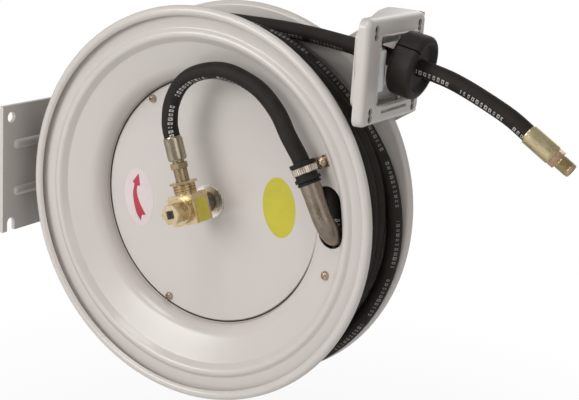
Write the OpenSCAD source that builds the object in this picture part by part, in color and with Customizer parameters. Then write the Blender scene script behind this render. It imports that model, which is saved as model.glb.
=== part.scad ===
// Wall-mounted spring-rewind hose reel.
// X runs from the wall to the outlet, Y along the drum axis to the rear, Z up. Millimetres.
// The origin is the centre of the wall plate's back face.

/* [Drum] */
// Gap between the wall and the flanges' edges
wall_gap = 37; // [20:1:80]
// Outside radius of the rolled flange rims
flange_r = 215; // [200:1:260]
// Half the distance between the flange sheets near the rim
flange_z = 44.5; // [36:0.1:56]
// Thickness of the flange sheet
sheet_t = 1.6; // [1:0.1:2.5]
// Outside radius of a rolled rim's bead
rim_r = 5.5; // [4:0.1:8]
// Distance from a flange's edge to the crest of its ridge
ridge_in = 30.5; // [26:0.1:40]
// Height of the ridge over the flange's outer zone
ridge_h = 4; // [2:0.1:6]
// Inside radius of the cup in the front flange, to the middle of the sheet
cup_r = 139.3; // [136:0.1:150]
// Height of the cup's floor over the drum's middle plane, to the middle of the sheet
cup_z = 10.6; // [8:0.1:14]
// Height at which the front flange's cone starts
cone_z0 = 27.5; // [24:0.1:32]
// Height at which the front flange's cone ends
cone_z1 = 40; // [36:0.1:44]
// Depth of the rear flange's flat middle
rear_z = 31; // [28:0.1:34]
// Radius of the rear flange's flat middle
rear_flat_r = 150; // [120:1:160]
// Wall of the drum's core
core_t = 1.6; // [1:0.1:3]
// Width of the hose slot in the front flange
slot_w = 36.5; // [30:0.5:44]
// Length of the hose slot in the front flange
slot_l = 65; // [56:1:80]
// Distance of the hose slot from the axis
slot_r = 159.25; // [150:0.25:160]
// Offset of the hose slot along its length
slot_up = 18.3; // [0:0.1:25]

/* [Spring case] */
// Radius of the cover disc
cover_r = 136; // [126:0.5:137]
// Thickness of the cover disc
cover_t = 1.6; // [1:0.1:3]
// Outside radius of the spring case's wall
case_r = 126; // [110:1:127]
// Thickness of the spring case's wall
case_t = 1.6; // [1:0.1:3]
// Pitch radius of the cover screws
cover_screw_r = 130.5; // [129:0.1:132]
// Angle of the first cover screw
cover_screw_a = 8.5; // [0:0.5:60]
// Pitch radius of the case rivets
rivet_r = 90; // [50:1:110]
// Number of case rivets
rivet_n = 6; // [3:1:8]
// Thickness of the spring strip
strip_t = 1; // [0.6:0.1:1.6]
// Width of the spring strip
strip_w = 32; // [20:1:34]
// Turns of the spring strip
strip_turns = 7; // [3:1:10]
// Radius of the spring arbor
arbor_r = 22; // [16:1:30]

/* [Spindle] */
// Diameter of the spindle
spindle_d = 19; // [15:0.1:22]
// Length of the spindle in front of the drum's middle plane
spindle_front = 66; // [60:1:80]
// Length of the spindle behind the drum's middle plane
spindle_rear = 96; // [90:1:120]
// Running clearance on the spindle, on the radius
run_gap = 0.05; // [0.02:0.01:0.1]
// Wall of the plain bushes
bush_t = 1.55; // [1:0.05:3]
// Wall of the hub sleeves
sleeve_t = 3; // [2:0.1:5]
// Diameter of the fluid bore
fluid_d = 9; // [5:0.5:11]
// Diameter of the inlet thread's bore
inlet_d = 14.4; // [10:0.2:16]
// Depth of the inlet thread
inlet_l = 14; // [8:1:20]

/* [Ratchet] */
// Tip radius of the ratchet wheel
ratchet_r = 58; // [52:1:66]
// Depth of the ratchet's teeth
tooth_h = 7; // [4:0.5:8]
// Number of teeth, a multiple of four
tooth_n = 12; // [8:4:16]
// Thickness of the ratchet wheel
ratchet_t = 4; // [3:0.5:6]
// Length of the pawl from its pivot to its tip
pawl_l = 27.5; // [24:0.5:32]
// Swing of the pawl from engaged to clear
pawl_swing = 36; // [32:1:50]
// Radius of the pawl's pin
pawl_pin_r = 5; // [3:0.5:7]

/* [Hose] */
// Outside diameter of the hose
hose_d = 17.4; // [13:0.1:18]
// Gap between neighbouring turns
turn_gap = 0.45; // [0.42:0.01:1]
// Distance from a flange's edge to the middle of the outer layer of hose
wind_inset = 25; // [24:0.5:35]
// Gap between the outer layer and the layers under it
layer_gap = 0.5; // [0.3:0.1:1]

/* [Swivel] */
// Width across the swivel block
block_w = 32; // [30:0.5:40]
// Distance of the swivel block from the drum's middle plane
block_z = 37; // [34:0.5:40]
// Height of the outlet port over the drum's middle plane
port_z = 52; // [51:0.5:54]
// Length of the plug's hexagon
plug_l = 15; // [10:0.5:20]
// Width across the flats of the plug's hexagon
plug_af = 20; // [16:0.5:24]
// Angle of the swivel block about the drum axis
swivel_a = 19.7; // [15:0.1:25]

/* [Wall bracket] */
// Height of the wall plate
plate_h = 150; // [140:1:200]
// Thickness of the bracket
plate_t = 5; // [4:0.5:8]
// Reach of the wall plate in front of the drum's middle plane
plate_front = 71; // [60:1:90]
// Gap between the rear flange's rim and the bracket arm
arm_gap = 5.3; // [2:0.1:12]
// Diameter of the upper bolt holes
bolt_hole_d = 12.5; // [9:0.5:14]
// Height of the upper bolt holes
bolt_z = 61; // [50:1:80]
// Position of the front bolt holes along the drum axis
bolt_y0 = -57; // [-70:1:-40]
// Position of the rear bolt holes along the drum axis
bolt_y1 = 43; // [20:1:45]
// Height of the embossed ribs
rib_h = 3; // [1:0.5:6]
// Radius of the bracket arm's round end
arm_end_r = 48; // [46:1:60]

/* [Guide arm] */
// Thickness of the guide arm
guide_t = 4; // [3:0.5:6]
// Radius of the guide arm's round end
guide_end_r = 42; // [41:1:50]
// Pitch radius of the arm bolts
arm_bolt_r = 34; // [31:0.5:38]
// Diameter of the arm bolts
arm_bolt_d = 8; // [6:0.5:10]

/* [Fairlead] */
// Distance of the fairlead's face inside the flanges' edges, along the hose
face_inset = 13.3; // [0:0.1:17]
// Depth of the fairlead's pan
pan_d = 11.7; // [9:0.1:20]
// Wall of the fairlead's pan
pan_t = 2.5; // [1.5:0.1:3]
// Lower edge of the fairlead's face, below the outer layer's radius
pan_below = 69; // [66:1:80]
// Upper edge of the fairlead's face, above the outer layer's radius
pan_above = 35.5; // [34:0.5:50]
// Front edge of the fairlead's face
pan_y0 = -66.5; // [-80:0.5:-60]
// Half width of the fairlead's opening
open_y = 42; // [39:0.5:46]
// Lower edge of the fairlead's opening, below the outer layer's radius
open_below = 52.5; // [51:0.5:55]
// Upper edge of the fairlead's opening, above the outer layer's radius
open_above = 19.5; // [17.5:0.5:21]
// Radius of the guide rollers
roller_r = 7; // [5:0.1:7.5]
// Radius of the roller pins
pin_r = 2.5; // [2:0.1:3.5]
// Running clearance of the rollers, on the radius
roller_gap = 0.05; // [0.02:0.01:0.1]
// Distance of the upright rollers from the middle
upright_y = 27; // [22:0.5:30]

/* [Ball stop] */
// Diameter of the ball stop
ball_d = 65; // [54:1:72]
// Width of the ball stop along the hose
ball_w = 27; // [22:0.5:32]
// Gap between the halves of the ball stop
ball_gap = 1.5; // [0.5:0.1:3]
// Clearance of the ball stop round the hose, on the radius
ball_clear = 0.3; // [0.1:0.1:1]
// Depth of the dish in the ball stop's front
dish = 5; // [2:0.5:8]

/* [End fitting] */
// Length of the end ferrule
ferrule_l = 33; // [26:1:40]
// Diameter of the end ferrules
ferrule_d = 20.4; // [20:0.1:24]
// Length of the end fitting's male end
male_l = 16; // [10:0.5:24]
// Diameter of the end fitting's male end
male_d = 14; // [12:0.5:16]
// Width across the flats of the end fitting's hexagon
end_af = 17; // [15:0.5:24]

/* [Hidden] */
$fn = 96;
fine = 48;
eps = 0.01;
big = 1000;
drum_x = flange_r + wall_gap;
wind_r = flange_r - wind_inset;
face_x = flange_r - face_inset;
pan_z0 = wind_r - pan_below;
pan_z1 = wind_r + pan_above;
open_z0 = wind_r - open_below;
open_z1 = wind_r + open_above;
hose_r = hose_d / 2;
spindle_r = spindle_d / 2;
run_r = spindle_r + run_gap;
bush_r = run_r + bush_t;
sleeve_r = bush_r + sleeve_t - 0.1;
curl_r = rim_r - sheet_t / 2;
half_t = sheet_t / 2;
arm_y = flange_z + 2 * rim_r - half_t + arm_gap + plate_t;
cup_round = 18;
ridge_r = flange_r - ridge_in;
bead_r = flange_r - rim_r;
ridge_z = flange_z + ridge_h;
cone_r1 = ridge_r - 7.5;
cone_a = atan2(cone_z1 - cone_z0, cone_r1 - cup_r);
lip_r = case_r - case_t;
lip_z = cup_z - half_t;
cover_z = cup_z + half_t;
disc_z = cover_z + cover_t;
rear_out = rear_z + half_t;
rear_in = rear_z - half_t;
case_floor = rear_in - case_t;
core_r = cup_r + half_t + core_t;
core_top = cone_z0 - cup_round / tan(45 + cone_a / 2) - 0.2;
inner_top = core_r + 0.3;
turn_rings = 24;
wind_in = wind_r * cos(180 / turn_rings) - hose_r - layer_gap;
hub_front = 16;
hub_z0 = 6;
hub_ring_r = sleeve_r + 4.75;
hub_bore = bush_r;
boss_r = sleeve_r + 10;
hub_plate_r = 45;
hub_plate_t = 4;
wheel_z = 42;
sleeve_end = 48;
thrust_gap = 0.1;
collar_z = arm_y - plate_t;
thrust_z = sleeve_end + 0.6;
thrust_t = 1.3;
collar_t = collar_z - thrust_z - thrust_t - thrust_gap;
arbor_z0 = -27.4;
arbor_z1 = 4;
arm_back = arm_y + guide_t;
washer_t = 2.5;
nut_t = 10;
nut_af = 34;
pawl_px = ratchet_r - 5.5 + pawl_l;
pawl_z = 44;
pawl_t = 6;
screw_r = 2.5;
screw_fit = 0.1;
cover_bolt_r = 2;
port_r = 11.2;
block_top = spindle_front;
block_cap = 7;
seat_in = 12;
stem_r = 6.4;
barb_bore = 4;
slot_tilt = 10.3;
clip_x = 135.6;
clip_y = 66.7;
clip_a = atan2(-0.880, 0.475);
clip_w = 7;
clip_t = 1.3;
foot_gap = 0.2;
clip_foot_r = 167.3;
clip_foot_a = 26.9;
anchor_r = 167;
anchor_a = -15;
neck_r = 10.6;
neck_bore = 8;
neck_s = 9.8;
neck_run = 50;
neck_bend = 24;
neck_turn = 85;
neck_lean = -15;
cuff_r = 11.6;
horiz_x = face_x - 19.7;
horiz_z0 = open_z0 + roller_r + 1.5;
horiz_z1 = open_z1 - roller_r - 0.5;
upright_x = face_x - 6.7;
upright_z0 = horiz_z0 + roller_r;
upright_z1 = horiz_z1 - roller_r - 1;
box_x0 = face_x - 25.7;
box_t = 2;
fall_a = 11;
fall = tan(fall_a);
face_z = 182.2;
ball_x = 219;
ball_z = face_z - (ball_x - face_x) * fall;
ball_r = ball_d / 2;
seam_a = 51;
ball_screw_x = hose_r + ball_clear + 6.5;
end_x = 343.7;
end_z = 131;
end_a = 32.3;
layer_pitch = hose_d + turn_gap;
wind_limit = flange_z - half_t - 0.4 - hose_r;
wind_y1 = wind_limit - 1.6;
wind_y0 = -wind_limit;
turns = (wind_y1 - wind_y0) / layer_pitch;
lift_r = 3.3;
lead_z = 192.5;

function unit(v) = v / norm(v);
function fillet(p0, p1, p2, r, n) =
  let(u = unit(p0 - p1), v = unit(p2 - p1), h = acos(u * v) / 2, c = p1 + unit(u + v) * r / sin(h),
    s = p1 + u * r / tan(h), e = p1 + v * r / tan(h), a0 = atan2(s[1] - c[1], s[0] - c[0]),
    a1 = atan2(e[1] - c[1], e[0] - c[0]), d = ((a1 - a0 + 540) % 360) - 180)
  [for (i = [0 : n]) c + r * [cos(a0 + d * i / n), sin(a0 + d * i / n)]];
function flat(v) = [v[0], v[1]];
function filleted(k, n) = [for (i = [0 : len(k) - 1]) each
  (k[i][2] == 0) ? [flat(k[i])] : fillet(flat(k[i - 1]), flat(k[i]), flat(k[i + 1]), k[i][2], n)];
function ring_of(k, n) = let(m = len(k)) [for (i = [0 : m - 1]) each
  (k[i][2] == 0) ? [flat(k[i])] :
  fillet(flat(k[(i + m - 1) % m]), flat(k[i]), flat(k[(i + 1) % m]), k[i][2], n)];
function seg_n(p, i) = let(d = unit(p[i + 1] - p[i])) [-d[1], d[0]];
function vert_n(p, i) = let(m = len(p) - 1, a = seg_n(p, max(0, i - 1)), b = seg_n(p, min(m - 1, i)),
  s = unit(a + b)) s / (s * a);
function thick(p, t) = concat([for (i = [0 : len(p) - 1]) p[i] + vert_n(p, i) * t / 2],
  [for (i = [len(p) - 1 : -1 : 0]) p[i] - vert_n(p, i) * t / 2]);
function curl(s) = [for (a = [-67.5 : 22.5 : 157.5])
  [bead_r + curl_r * cos(a), s * (flange_z + curl_r + curl_r * sin(a))]];
function cone_z(r) = cone_z0 + (r - cup_r) * tan(cone_a);
function along(p, i) = let(m = len(p) - 1) unit(p[min(m, i + 1)] - p[max(0, i - 1)]);
function hoop(p, i, r, n, up) = let(t = along(p, i), s = unit(cross(up, t)), b = cross(t, s))
  [for (k = [0 : n - 1]) p[i] + r * (cos(360 * k / n) * s + sin(360 * k / n) * b)];
function smooth(p, i, t) = let(m = len(p) - 1, a = p[max(0, i - 1)], b = p[i], c = p[i + 1],
  d = p[min(m, i + 2)]) b + 0.5 * t * (c - a + t * (2 * a - 5 * b + 4 * c - d + t * (3 * (b - c) + d - a)));
function route(p, n) = let(m = len(p) - 1) concat([p[0]],
  [for (i = [1 : m - 2], k = [0 : n - 1]) smooth(p, i, k / n)], [p[m - 1], p[m]]);

module skin(sections) {
  m = len(sections);
  n = len(sections[0]);
  polyhedron(
    points = [for (ring = sections) each ring],
    faces = concat([[for (k = [0 : n - 1]) k]],
      [for (i = [0 : m - 2], k = [0 : n - 1]) [i * n + k, (i + 1) * n + k, (i + 1) * n + (k + 1) % n]],
      [for (i = [0 : m - 2], k = [0 : n - 1]) [i * n + k, (i + 1) * n + (k + 1) % n, i * n + (k + 1) % n]],
      [[for (k = [n - 1 : -1 : 0]) (m - 1) * n + k]]));
}

module tube(p, r, n, up) {
  skin([for (i = [0 : len(p) - 1]) hoop(p, i, r, n, up)]);
}

module on_drum() {
  translate([drum_x, 0, 0])
    rotate([90, 0, 0])
      children();
}

module on_cone(r, a) {
  rotate([0, 0, a])
    translate([r, 0, cone_z(r)])
      rotate([0, -cone_a, 0])
        children();
}

module on_face(x) {
  translate([drum_x + x, 0, 0])
    rotate([90, 0, 90])
      children();
}

module upright(x, z) {
  translate([drum_x + x, 0, z])
    children();
}

module disc(r, z0, z1) {
  translate([0, 0, z0])
    cylinder(r = r, h = z1 - z0);
}

module washer(r, bore, z0, z1) {
  difference() {
    disc(r, z0, z1);
    disc(bore, z0 - 1, z1 + 1);
  }
}

module hex(af, z0, z1) {
  translate([0, 0, z0])
    cylinder(d = af / cos(30), h = z1 - z0, $fn = 6);
}

module rings(n, r) {
  for (i = [0 : n - 1])
    rotate([0, 0, 360 * i / n])
      translate([r, 0, 0])
        children();
}

// ---------------------------------------------------------------- bracket and arms

module wall_bracket() {
  bend = 8;
  nose = 60;
  line = ring_of([[plate_t, -plate_front, 0], [plate_t, collar_z, bend - plate_t + 1], [nose, collar_z, 0],
    [nose, arm_y, 0], [0, arm_y, bend + 1], [0, -plate_front, 0]], 5);
  slot_r0 = bolt_hole_d / 2;
  slot_top = -59;
  color([0.86, 0.85, 0.81])
    difference() {
      union() {
        translate([0, 0, -plate_h / 2])
          linear_extrude(plate_h)
            polygon(line);
        translate([0, arm_y, 0])
          rotate([90, 0, 0])
            linear_extrude(plate_t)
              polygon([[nose, -plate_h / 2], arm_tangent(-1), [drum_x, 0], arm_tangent(1), [nose, plate_h / 2]]);
        translate([drum_x, collar_z, 0])
          rotate([-90, 0, 0])
            cylinder(r = arm_end_r, h = plate_t);
        for (s = [-1, 1])
          rib(s * 28);
      }
      for (y = [bolt_y0, bolt_y1])
        translate([-1, y, 0])
          rotate([0, 90, 0]) {
            translate([-bolt_z, 0, 0])
              cylinder(d = bolt_hole_d, h = plate_t + 2, $fn = fine);
            translate([-slot_top + slot_r0, 0, 0])
              cylinder(d = bolt_hole_d, h = plate_t + 2, $fn = fine);
            translate([-slot_top + slot_r0, -slot_r0, 0])
              cube([plate_h / 2, bolt_hole_d, plate_t + 2]);
          }
      on_drum() {
        disc(spindle_r, -arm_y - 1, -collar_z + 1);
        rotate([0, 0, 45])
          rings(4, arm_bolt_r)
            disc(arm_bolt_d / 2 + screw_fit, -arm_y - 1, -collar_z + 1);
        translate([-pawl_px, 0, 0])
          disc(pawl_pin_r, -arm_y - 1, -collar_z + 1);
      }
    }
}

function arm_tangent(s) = let(d = drum_x - 60, h = plate_h / 2, a = atan2(h, d) - asin(arm_end_r / norm([d, h])))
  [drum_x, 0] + arm_end_r * [sin(-a) * -1, s * cos(a)];

module rib(z) {
  rr = 7;
  y0 = -47;
  y1 = 30;
  translate([plate_t + rib_h - rr, 0, z])
    intersection() {
      union() {
        translate([0, y0, 0])
          rotate([-90, 0, 0])
            cylinder(r = rr, h = y1 - y0, $fn = fine);
        for (y = [y0, y1])
          translate([0, y, 0])
            sphere(r = rr, $fn = fine);
      }
      translate([rr - rib_h - 1, y0 - rr, -rr])
        cube([rr, y1 - y0 + 2 * rr, 2 * rr]);
    }
}

module guide_arm() {
  top = pan_z1 - 1;
  tip = face_x - 4;
  line = ring_of([[-29.7, 29.7, 0], [tip - 109.7, top - 52.5, 14], [tip - 78.7, top - 31.5, 14],
    [tip - 32.7, top, 6], [tip, top, 0], [tip, pan_z0, 0], [tip - 31.7, pan_z0 - 21, 30], [29.7, -29.7, 0]], 5);
  color([0.86, 0.85, 0.81])
    difference() {
      on_drum()
        translate([0, 0, -arm_back]) {
          linear_extrude(guide_t)
            polygon(line);
          cylinder(r = guide_end_r, h = guide_t);
        }
      on_drum() {
        disc(spindle_r, -arm_back - 1, -arm_y + 1);
        rotate([0, 0, 45])
          rings(4, arm_bolt_r)
            disc(arm_bolt_d / 2 + screw_fit, -arm_back - 1, -arm_y + 1);
      }
    }
}

module arm_bolts() {
  head = 5.5;
  color([0.72, 0.72, 0.70])
    on_drum()
      rotate([0, 0, 45])
        rings(4, arm_bolt_r) {
          hex(arm_bolt_d * 1.6, -collar_z, -collar_z + head);
          disc(arm_bolt_d / 2, -arm_back - 10, -collar_z + 1);
          hex(arm_bolt_d * 1.6, -arm_back - 6.5, -arm_back);
        }
}

// ---------------------------------------------------------------- fairlead

function box_ring(y0, y1, z0, z1, r) = ring_of([[y0, z0, r], [y1, z0, r], [y1, z1, r], [y0, z1, r]], 5);

function pan_ring(x, inset, r) = [for (q = box_ring(pan_y0 + inset, arm_y - inset, pan_z0 + inset,
  pan_z1 - inset, r - inset)) [drum_x + x, q[0], q[1]]];

module pan(x0, inset, er) {
  corner = 9;
  skin(concat([pan_ring(x0, inset, corner)],
    [for (a = [0 : 22.5 : 90]) pan_ring(face_x - inset - er + er * sin(a), inset + er * (1 - cos(a)), corner)]));
}

module fairlead_frame() {
  back = face_x - pan_d;
  color([0.86, 0.85, 0.81])
    difference() {
      union() {
        difference() {
          pan(back, 0, 5);
          pan(back - 1, pan_t, 5 - pan_t);
        }
        upright(0, pan_z1 - pan_t)
          linear_extrude(pan_t)
            polygon([[back + 6, pan_y0 + 8], [back, pan_y0 + 16], [back - 2, -37], [back - 21.5, 18.3],
              [back - 30, 54.3], [back - 30, arm_y], [back + 6, arm_y]]);
        upright(0, pan_z0)
          linear_extrude(pan_t)
            polygon([[back + 6, pan_y0 + 8], [back, pan_y0 + 16], [back - 7, 30], [back - 7, arm_y],
              [back + 6, arm_y]]);
      }
      on_face(back)
        linear_extrude(pan_d + 1)
          polygon(box_ring(-open_y, open_y, open_z0, open_z1, 6));
      for (y = [-50, 50], z = [pan_z0 + 11, pan_z1 - 13.8], k = [-3.4, 3.4])
        on_face(back)
          translate([y, z + k, 0])
            cylinder(r = 4.2, h = pan_d + 1, $fn = fine);
      on_face(back)
        linear_extrude(pan_d + 1)
          polygon(box_ring(-26, 34, pan_z0 + 10, pan_z0 + 13, 1.4));
    }
}

module roller_box() {
  wide = open_y + box_t;
  color([0.86, 0.85, 0.81])
    difference() {
      on_face(box_x0)
        linear_extrude(face_x - pan_t - box_x0)
          polygon(box_ring(-wide, wide, open_z0 - box_t, open_z1 + box_t, 8));
      on_face(box_x0 - 1)
        linear_extrude(big)
          polygon(box_ring(-open_y, open_y, open_z0, open_z1, 6));
      for (s = [-1, 1])
        upright(upright_x, open_z0 - box_t - 1)
          translate([0, s * upright_y, 0])
            cylinder(r = pin_r, h = open_z1 - open_z0 + 2 * box_t + 2, $fn = fine);
      for (z = [horiz_z0, horiz_z1])
        upright(horiz_x, z)
          translate([0, -wide - 1, 0])
            rotate([-90, 0, 0])
              cylinder(r = pin_r, h = 2 * wide + 2, $fn = fine);
    }
}

module roller_pins() {
  wide = open_y + box_t;
  collar = 1.5;
  play = 0.15;
  color([0.70, 0.70, 0.68]) {
    for (s = [-1, 1])
      upright(upright_x, 0)
        translate([0, s * upright_y, 0]) {
          translate([0, 0, open_z0 - box_t])
            cylinder(r = pin_r, h = open_z1 - open_z0 + 2 * box_t, $fn = fine);
          translate([0, 0, upright_z1 + play])
            cylinder(r = pin_r + 2, h = collar, $fn = fine);
          translate([0, 0, upright_z0 - play - collar])
            cylinder(r = pin_r + 2, h = collar, $fn = fine);
        }
    for (z = [horiz_z0, horiz_z1])
      upright(horiz_x, z)
        translate([0, -wide, 0])
          rotate([-90, 0, 0])
            cylinder(r = pin_r, h = 2 * wide, $fn = fine);
  }
}

module roller(l) {
  dish_r = 1;
  color([0.93, 0.93, 0.91])
    difference() {
      union() {
        cylinder(r = roller_r - dish_r, h = l, $fn = fine);
        translate([0, 0, dish_r])
          cylinder(r = roller_r, h = l - 2 * dish_r, $fn = fine);
      }
      translate([0, 0, -1])
        cylinder(r = pin_r + roller_gap, h = l + 2, $fn = fine);
    }
}

module upright_roller(s) {
  upright(upright_x, upright_z0)
    translate([0, s * upright_y, 0])
      roller(upright_z1 - upright_z0);
}

module level_roller(z) {
  half = open_y - 8;
  upright(horiz_x, z)
    translate([0, -half, 0])
      rotate([-90, 0, 0])
        roller(2 * half);
}

module roller_front() {
  upright_roller(-1);
}

module roller_rear() {
  upright_roller(1);
}

module roller_low() {
  level_roller(horiz_z0);
}

module roller_top() {
  level_roller(horiz_z1);
}

// ---------------------------------------------------------------- spindle and bearings

module spindle() {
  cross_r = 3;
  color([0.34, 0.34, 0.34])
    on_drum()
      difference() {
        union() {
          disc(spindle_r, -spindle_rear, spindle_front);
          disc(spindle_r + 6.5, -collar_z, -collar_z + collar_t);
        }
        disc(fluid_d / 2, -spindle_rear - 1, port_z + 5);
        disc(inlet_d / 2, -spindle_rear - 1, -spindle_rear + inlet_l);
        translate([0, 0, port_z])
          for (a = [0, 90])
            rotate([90, 0, a])
              translate([0, 0, -spindle_r - 1])
                cylinder(r = cross_r, h = 2 * spindle_r + 2, $fn = fine);
      }
}

module spindle_nut() {
  color([0.62, 0.62, 0.60])
    on_drum()
      difference() {
        hex(nut_af, -arm_back - washer_t - nut_t, -arm_back - washer_t);
        disc(spindle_r, -arm_back - washer_t - nut_t - 1, -arm_back);
      }
}

module spindle_washer() {
  color([0.66, 0.66, 0.64])
    on_drum()
      washer(spindle_r + 12, spindle_r, -arm_back - washer_t, -arm_back);
}

module arbor() {
  color([0.45, 0.45, 0.44])
    on_drum()
      washer(arbor_r, spindle_r, arbor_z0, arbor_z1);
}

module thrust_washer() {
  color([0.55, 0.50, 0.36])
    on_drum()
      washer(spindle_r + 7.5, spindle_r, -thrust_z - thrust_t, -thrust_z);
}

// ---------------------------------------------------------------- drum

module front_flange() {
  line = concat(filleted([[case_r - case_t, cup_z, 0], [cup_r, cup_z, 3], [cup_r, cone_z0, cup_round],
    [cone_r1, cone_z1, 4], [ridge_r, ridge_z, 5], [ridge_r + 6.5, flange_z, 5], [bead_r, flange_z, 0]], 5),
    curl(1));
  color([0.87, 0.86, 0.82])
    on_drum()
      difference() {
        rotate_extrude()
          polygon(thick(line, sheet_t));
        translate([slot_r, slot_up, 20])
          rotate([0, 0, slot_tilt]) {
            for (s = [-1, 1])
              translate([0, s * (slot_l - slot_w) / 2, 0])
                cylinder(d = slot_w, h = 30);
            translate([-slot_w / 2, -(slot_l - slot_w) / 2, 0])
              cube([slot_w, slot_l - slot_w, 30]);
          }
        rotate([0, 0, cover_screw_a])
          rings(3, cover_screw_r)
            disc(cover_bolt_r + screw_fit, 0, 20);
        on_cone(clip_foot_r, clip_foot_a)
          translate([0, 0, -5])
            cylinder(r = screw_r + screw_fit, h = 10, $fn = fine);
        on_cone(anchor_r, anchor_a)
          translate([0, 0, -5])
            cylinder(r = screw_r + screw_fit, h = 10, $fn = fine);
      }
}

module rear_flange() {
  line = concat(filleted([[sleeve_r + 0.5, -rear_z, 0], [rear_flat_r, -rear_z, 8], [cone_r1, -cone_z1, 4],
    [ridge_r, -ridge_z, 5], [ridge_r + 6.5, -flange_z, 5], [bead_r, -flange_z, 0]], 5), curl(-1));
  color([0.87, 0.86, 0.82])
    on_drum()
      difference() {
        rotate_extrude()
          polygon(thick(line, sheet_t));
        rings(rivet_n, rivet_r)
          disc(screw_r, -rear_out - 1, 0);
        rings(4, hub_plate_r - 8)
          disc(screw_r, -rear_out - 1, 0);
      }
}

module drum_core() {
  color([0.87, 0.86, 0.82])
    on_drum()
      washer(core_r, core_r - core_t, -rear_in, core_top);
}

module hose_core() {
  low = 19.5;
  color([0.20, 0.20, 0.21])
    on_drum()
      rotate_extrude()
        polygon([[inner_top, -rear_in + 0.2], [rear_flat_r, -rear_in + 0.2],
          [cone_r1 - 1, -cone_z1 + half_t + 1.2], [wind_in, -cone_z1 + half_t + 1.2], [wind_in, low],
          [inner_top + 1, low], [inner_top, core_top - 1]]);
}

module spring_case() {
  color([0.80, 0.79, 0.76])
    on_drum()
      difference() {
        union() {
          disc(case_r, -rear_in, lip_z);
          disc(cover_r, lip_z - case_t, lip_z);
        }
        disc(case_r - case_t, -case_floor, lip_z + 1);
        disc(sleeve_r + 0.5, -rear_in - 1, 0);
        rings(rivet_n, rivet_r)
          disc(screw_r, -rear_in - 1, 0);
        rings(4, hub_plate_r - 8)
          disc(screw_r, -rear_in - 1, 0);
        rotate([0, 0, cover_screw_a])
          rings(3, cover_screw_r)
            disc(cover_bolt_r + screw_fit, 0, 20);
      }
}

module case_rivets() {
  color([0.70, 0.70, 0.68])
    on_drum()
      rings(rivet_n, rivet_r) {
        disc(screw_r, -rear_out - 1, -case_floor + 0.5);
        disc(screw_r + 2, -rear_out - 1.6, -rear_out);
        disc(screw_r + 2, -case_floor, -case_floor + 1.4);
      }
}

module power_spring() {
  r0 = arbor_r + 1.5;
  r1 = case_r - case_t - strip_t / 2 - 0.05;
  steps = 20 * strip_turns;
  line = [for (i = [0 : steps]) let(r = r0 + (r1 - r0) * i / steps, a = 18 * i) [r * cos(a), r * sin(a)]];
  color([0.30, 0.32, 0.36])
    on_drum()
      translate([0, 0, -26])
        linear_extrude(strip_w)
          polygon(thick(line, strip_t));
}

module cover_disc() {
  soft = 1;
  color([0.88, 0.87, 0.83])
    on_drum()
      difference() {
        union() {
          disc(cover_r, cover_z, disc_z - soft);
          translate([0, 0, disc_z - soft])
            cylinder(r1 = cover_r, r2 = cover_r - soft, h = soft);
        }
        disc(sleeve_r, cover_z - 1, disc_z + 1);
        rotate([0, 0, cover_screw_a])
          rings(3, cover_screw_r)
            disc(cover_bolt_r + screw_fit, 0, 20);
      }
}

module cover_screws() {
  color([0.62, 0.62, 0.60])
    on_drum()
      rotate([0, 0, cover_screw_a])
        rings(3, cover_screw_r) {
          disc(cover_bolt_r * 2, disc_z, disc_z + 2.4);
          disc(cover_bolt_r, lip_z - case_t - 5, disc_z + 1);
          hex(7, lip_z - case_t - 3.2, lip_z - case_t);
        }
}

module front_hub() {
  color([0.60, 0.59, 0.56])
    on_drum()
      difference() {
        union() {
          disc(hub_ring_r, disc_z, hub_front);
          disc(sleeve_r, hub_z0, disc_z);
        }
        disc(hub_bore, hub_z0 - 1, hub_front + 1);
      }
}

module front_bush() {
  color([0.62, 0.50, 0.30])
    on_drum()
      washer(bush_r, run_r, hub_z0 - 0.5, hub_front + 0.5);
}

module rear_hub() {
  color([0.50, 0.50, 0.49])
    on_drum()
      difference() {
        union() {
          disc(sleeve_r, -sleeve_end, -rear_z + 2.8);
          disc(boss_r, -wheel_z, -rear_out);
          disc(hub_plate_r, -rear_out - hub_plate_t, -rear_out);
        }
        disc(bush_r, -sleeve_end - 1, 0);
        rings(4, hub_plate_r - 8)
          disc(screw_r, -rear_out - hub_plate_t - 1, 0);
        rotate([0, 0, 45])
          rings(4, sleeve_r + 5)
            disc(screw_r - 0.5, -wheel_z - 1, -wheel_z + 6);
      }
}

module hub_rivets() {
  color([0.70, 0.70, 0.68])
    on_drum()
      rings(4, hub_plate_r - 8) {
        disc(screw_r, -rear_out - hub_plate_t - 1, -case_floor + 0.5);
        disc(screw_r + 2, -rear_out - hub_plate_t - 1.6, -rear_out - hub_plate_t);
        disc(screw_r + 2, -case_floor, -case_floor + 1.0);
      }
}

module rear_bush() {
  color([0.62, 0.50, 0.30])
    on_drum()
      washer(bush_r, run_r, -sleeve_end - 0.4, -rear_z + 2.8);
}

module ratchet_wheel() {
  root = ratchet_r - tooth_h;
  step = 360 / tooth_n;
  color([0.44, 0.44, 0.43])
    on_drum()
      difference() {
        translate([0, 0, -wheel_z - ratchet_t])
          linear_extrude(ratchet_t)
            polygon([for (i = [0 : tooth_n - 1]) each [
              for (q = [[ratchet_r, -3.6], [root, -3.8], [root, 3], [root, 10], [ratchet_r, step - 11],
                [ratchet_r, step - 7]])
              let(a = 180 + i * step + q[1]) q[0] * [cos(a), sin(a)]]]);
        disc(sleeve_r, -wheel_z - ratchet_t - 1, -wheel_z + 1);
        rotate([0, 0, 45])
          rings(4, sleeve_r + 5)
            disc(screw_r - 0.5, -wheel_z - ratchet_t - 1, -wheel_z + 1);
      }
}

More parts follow.
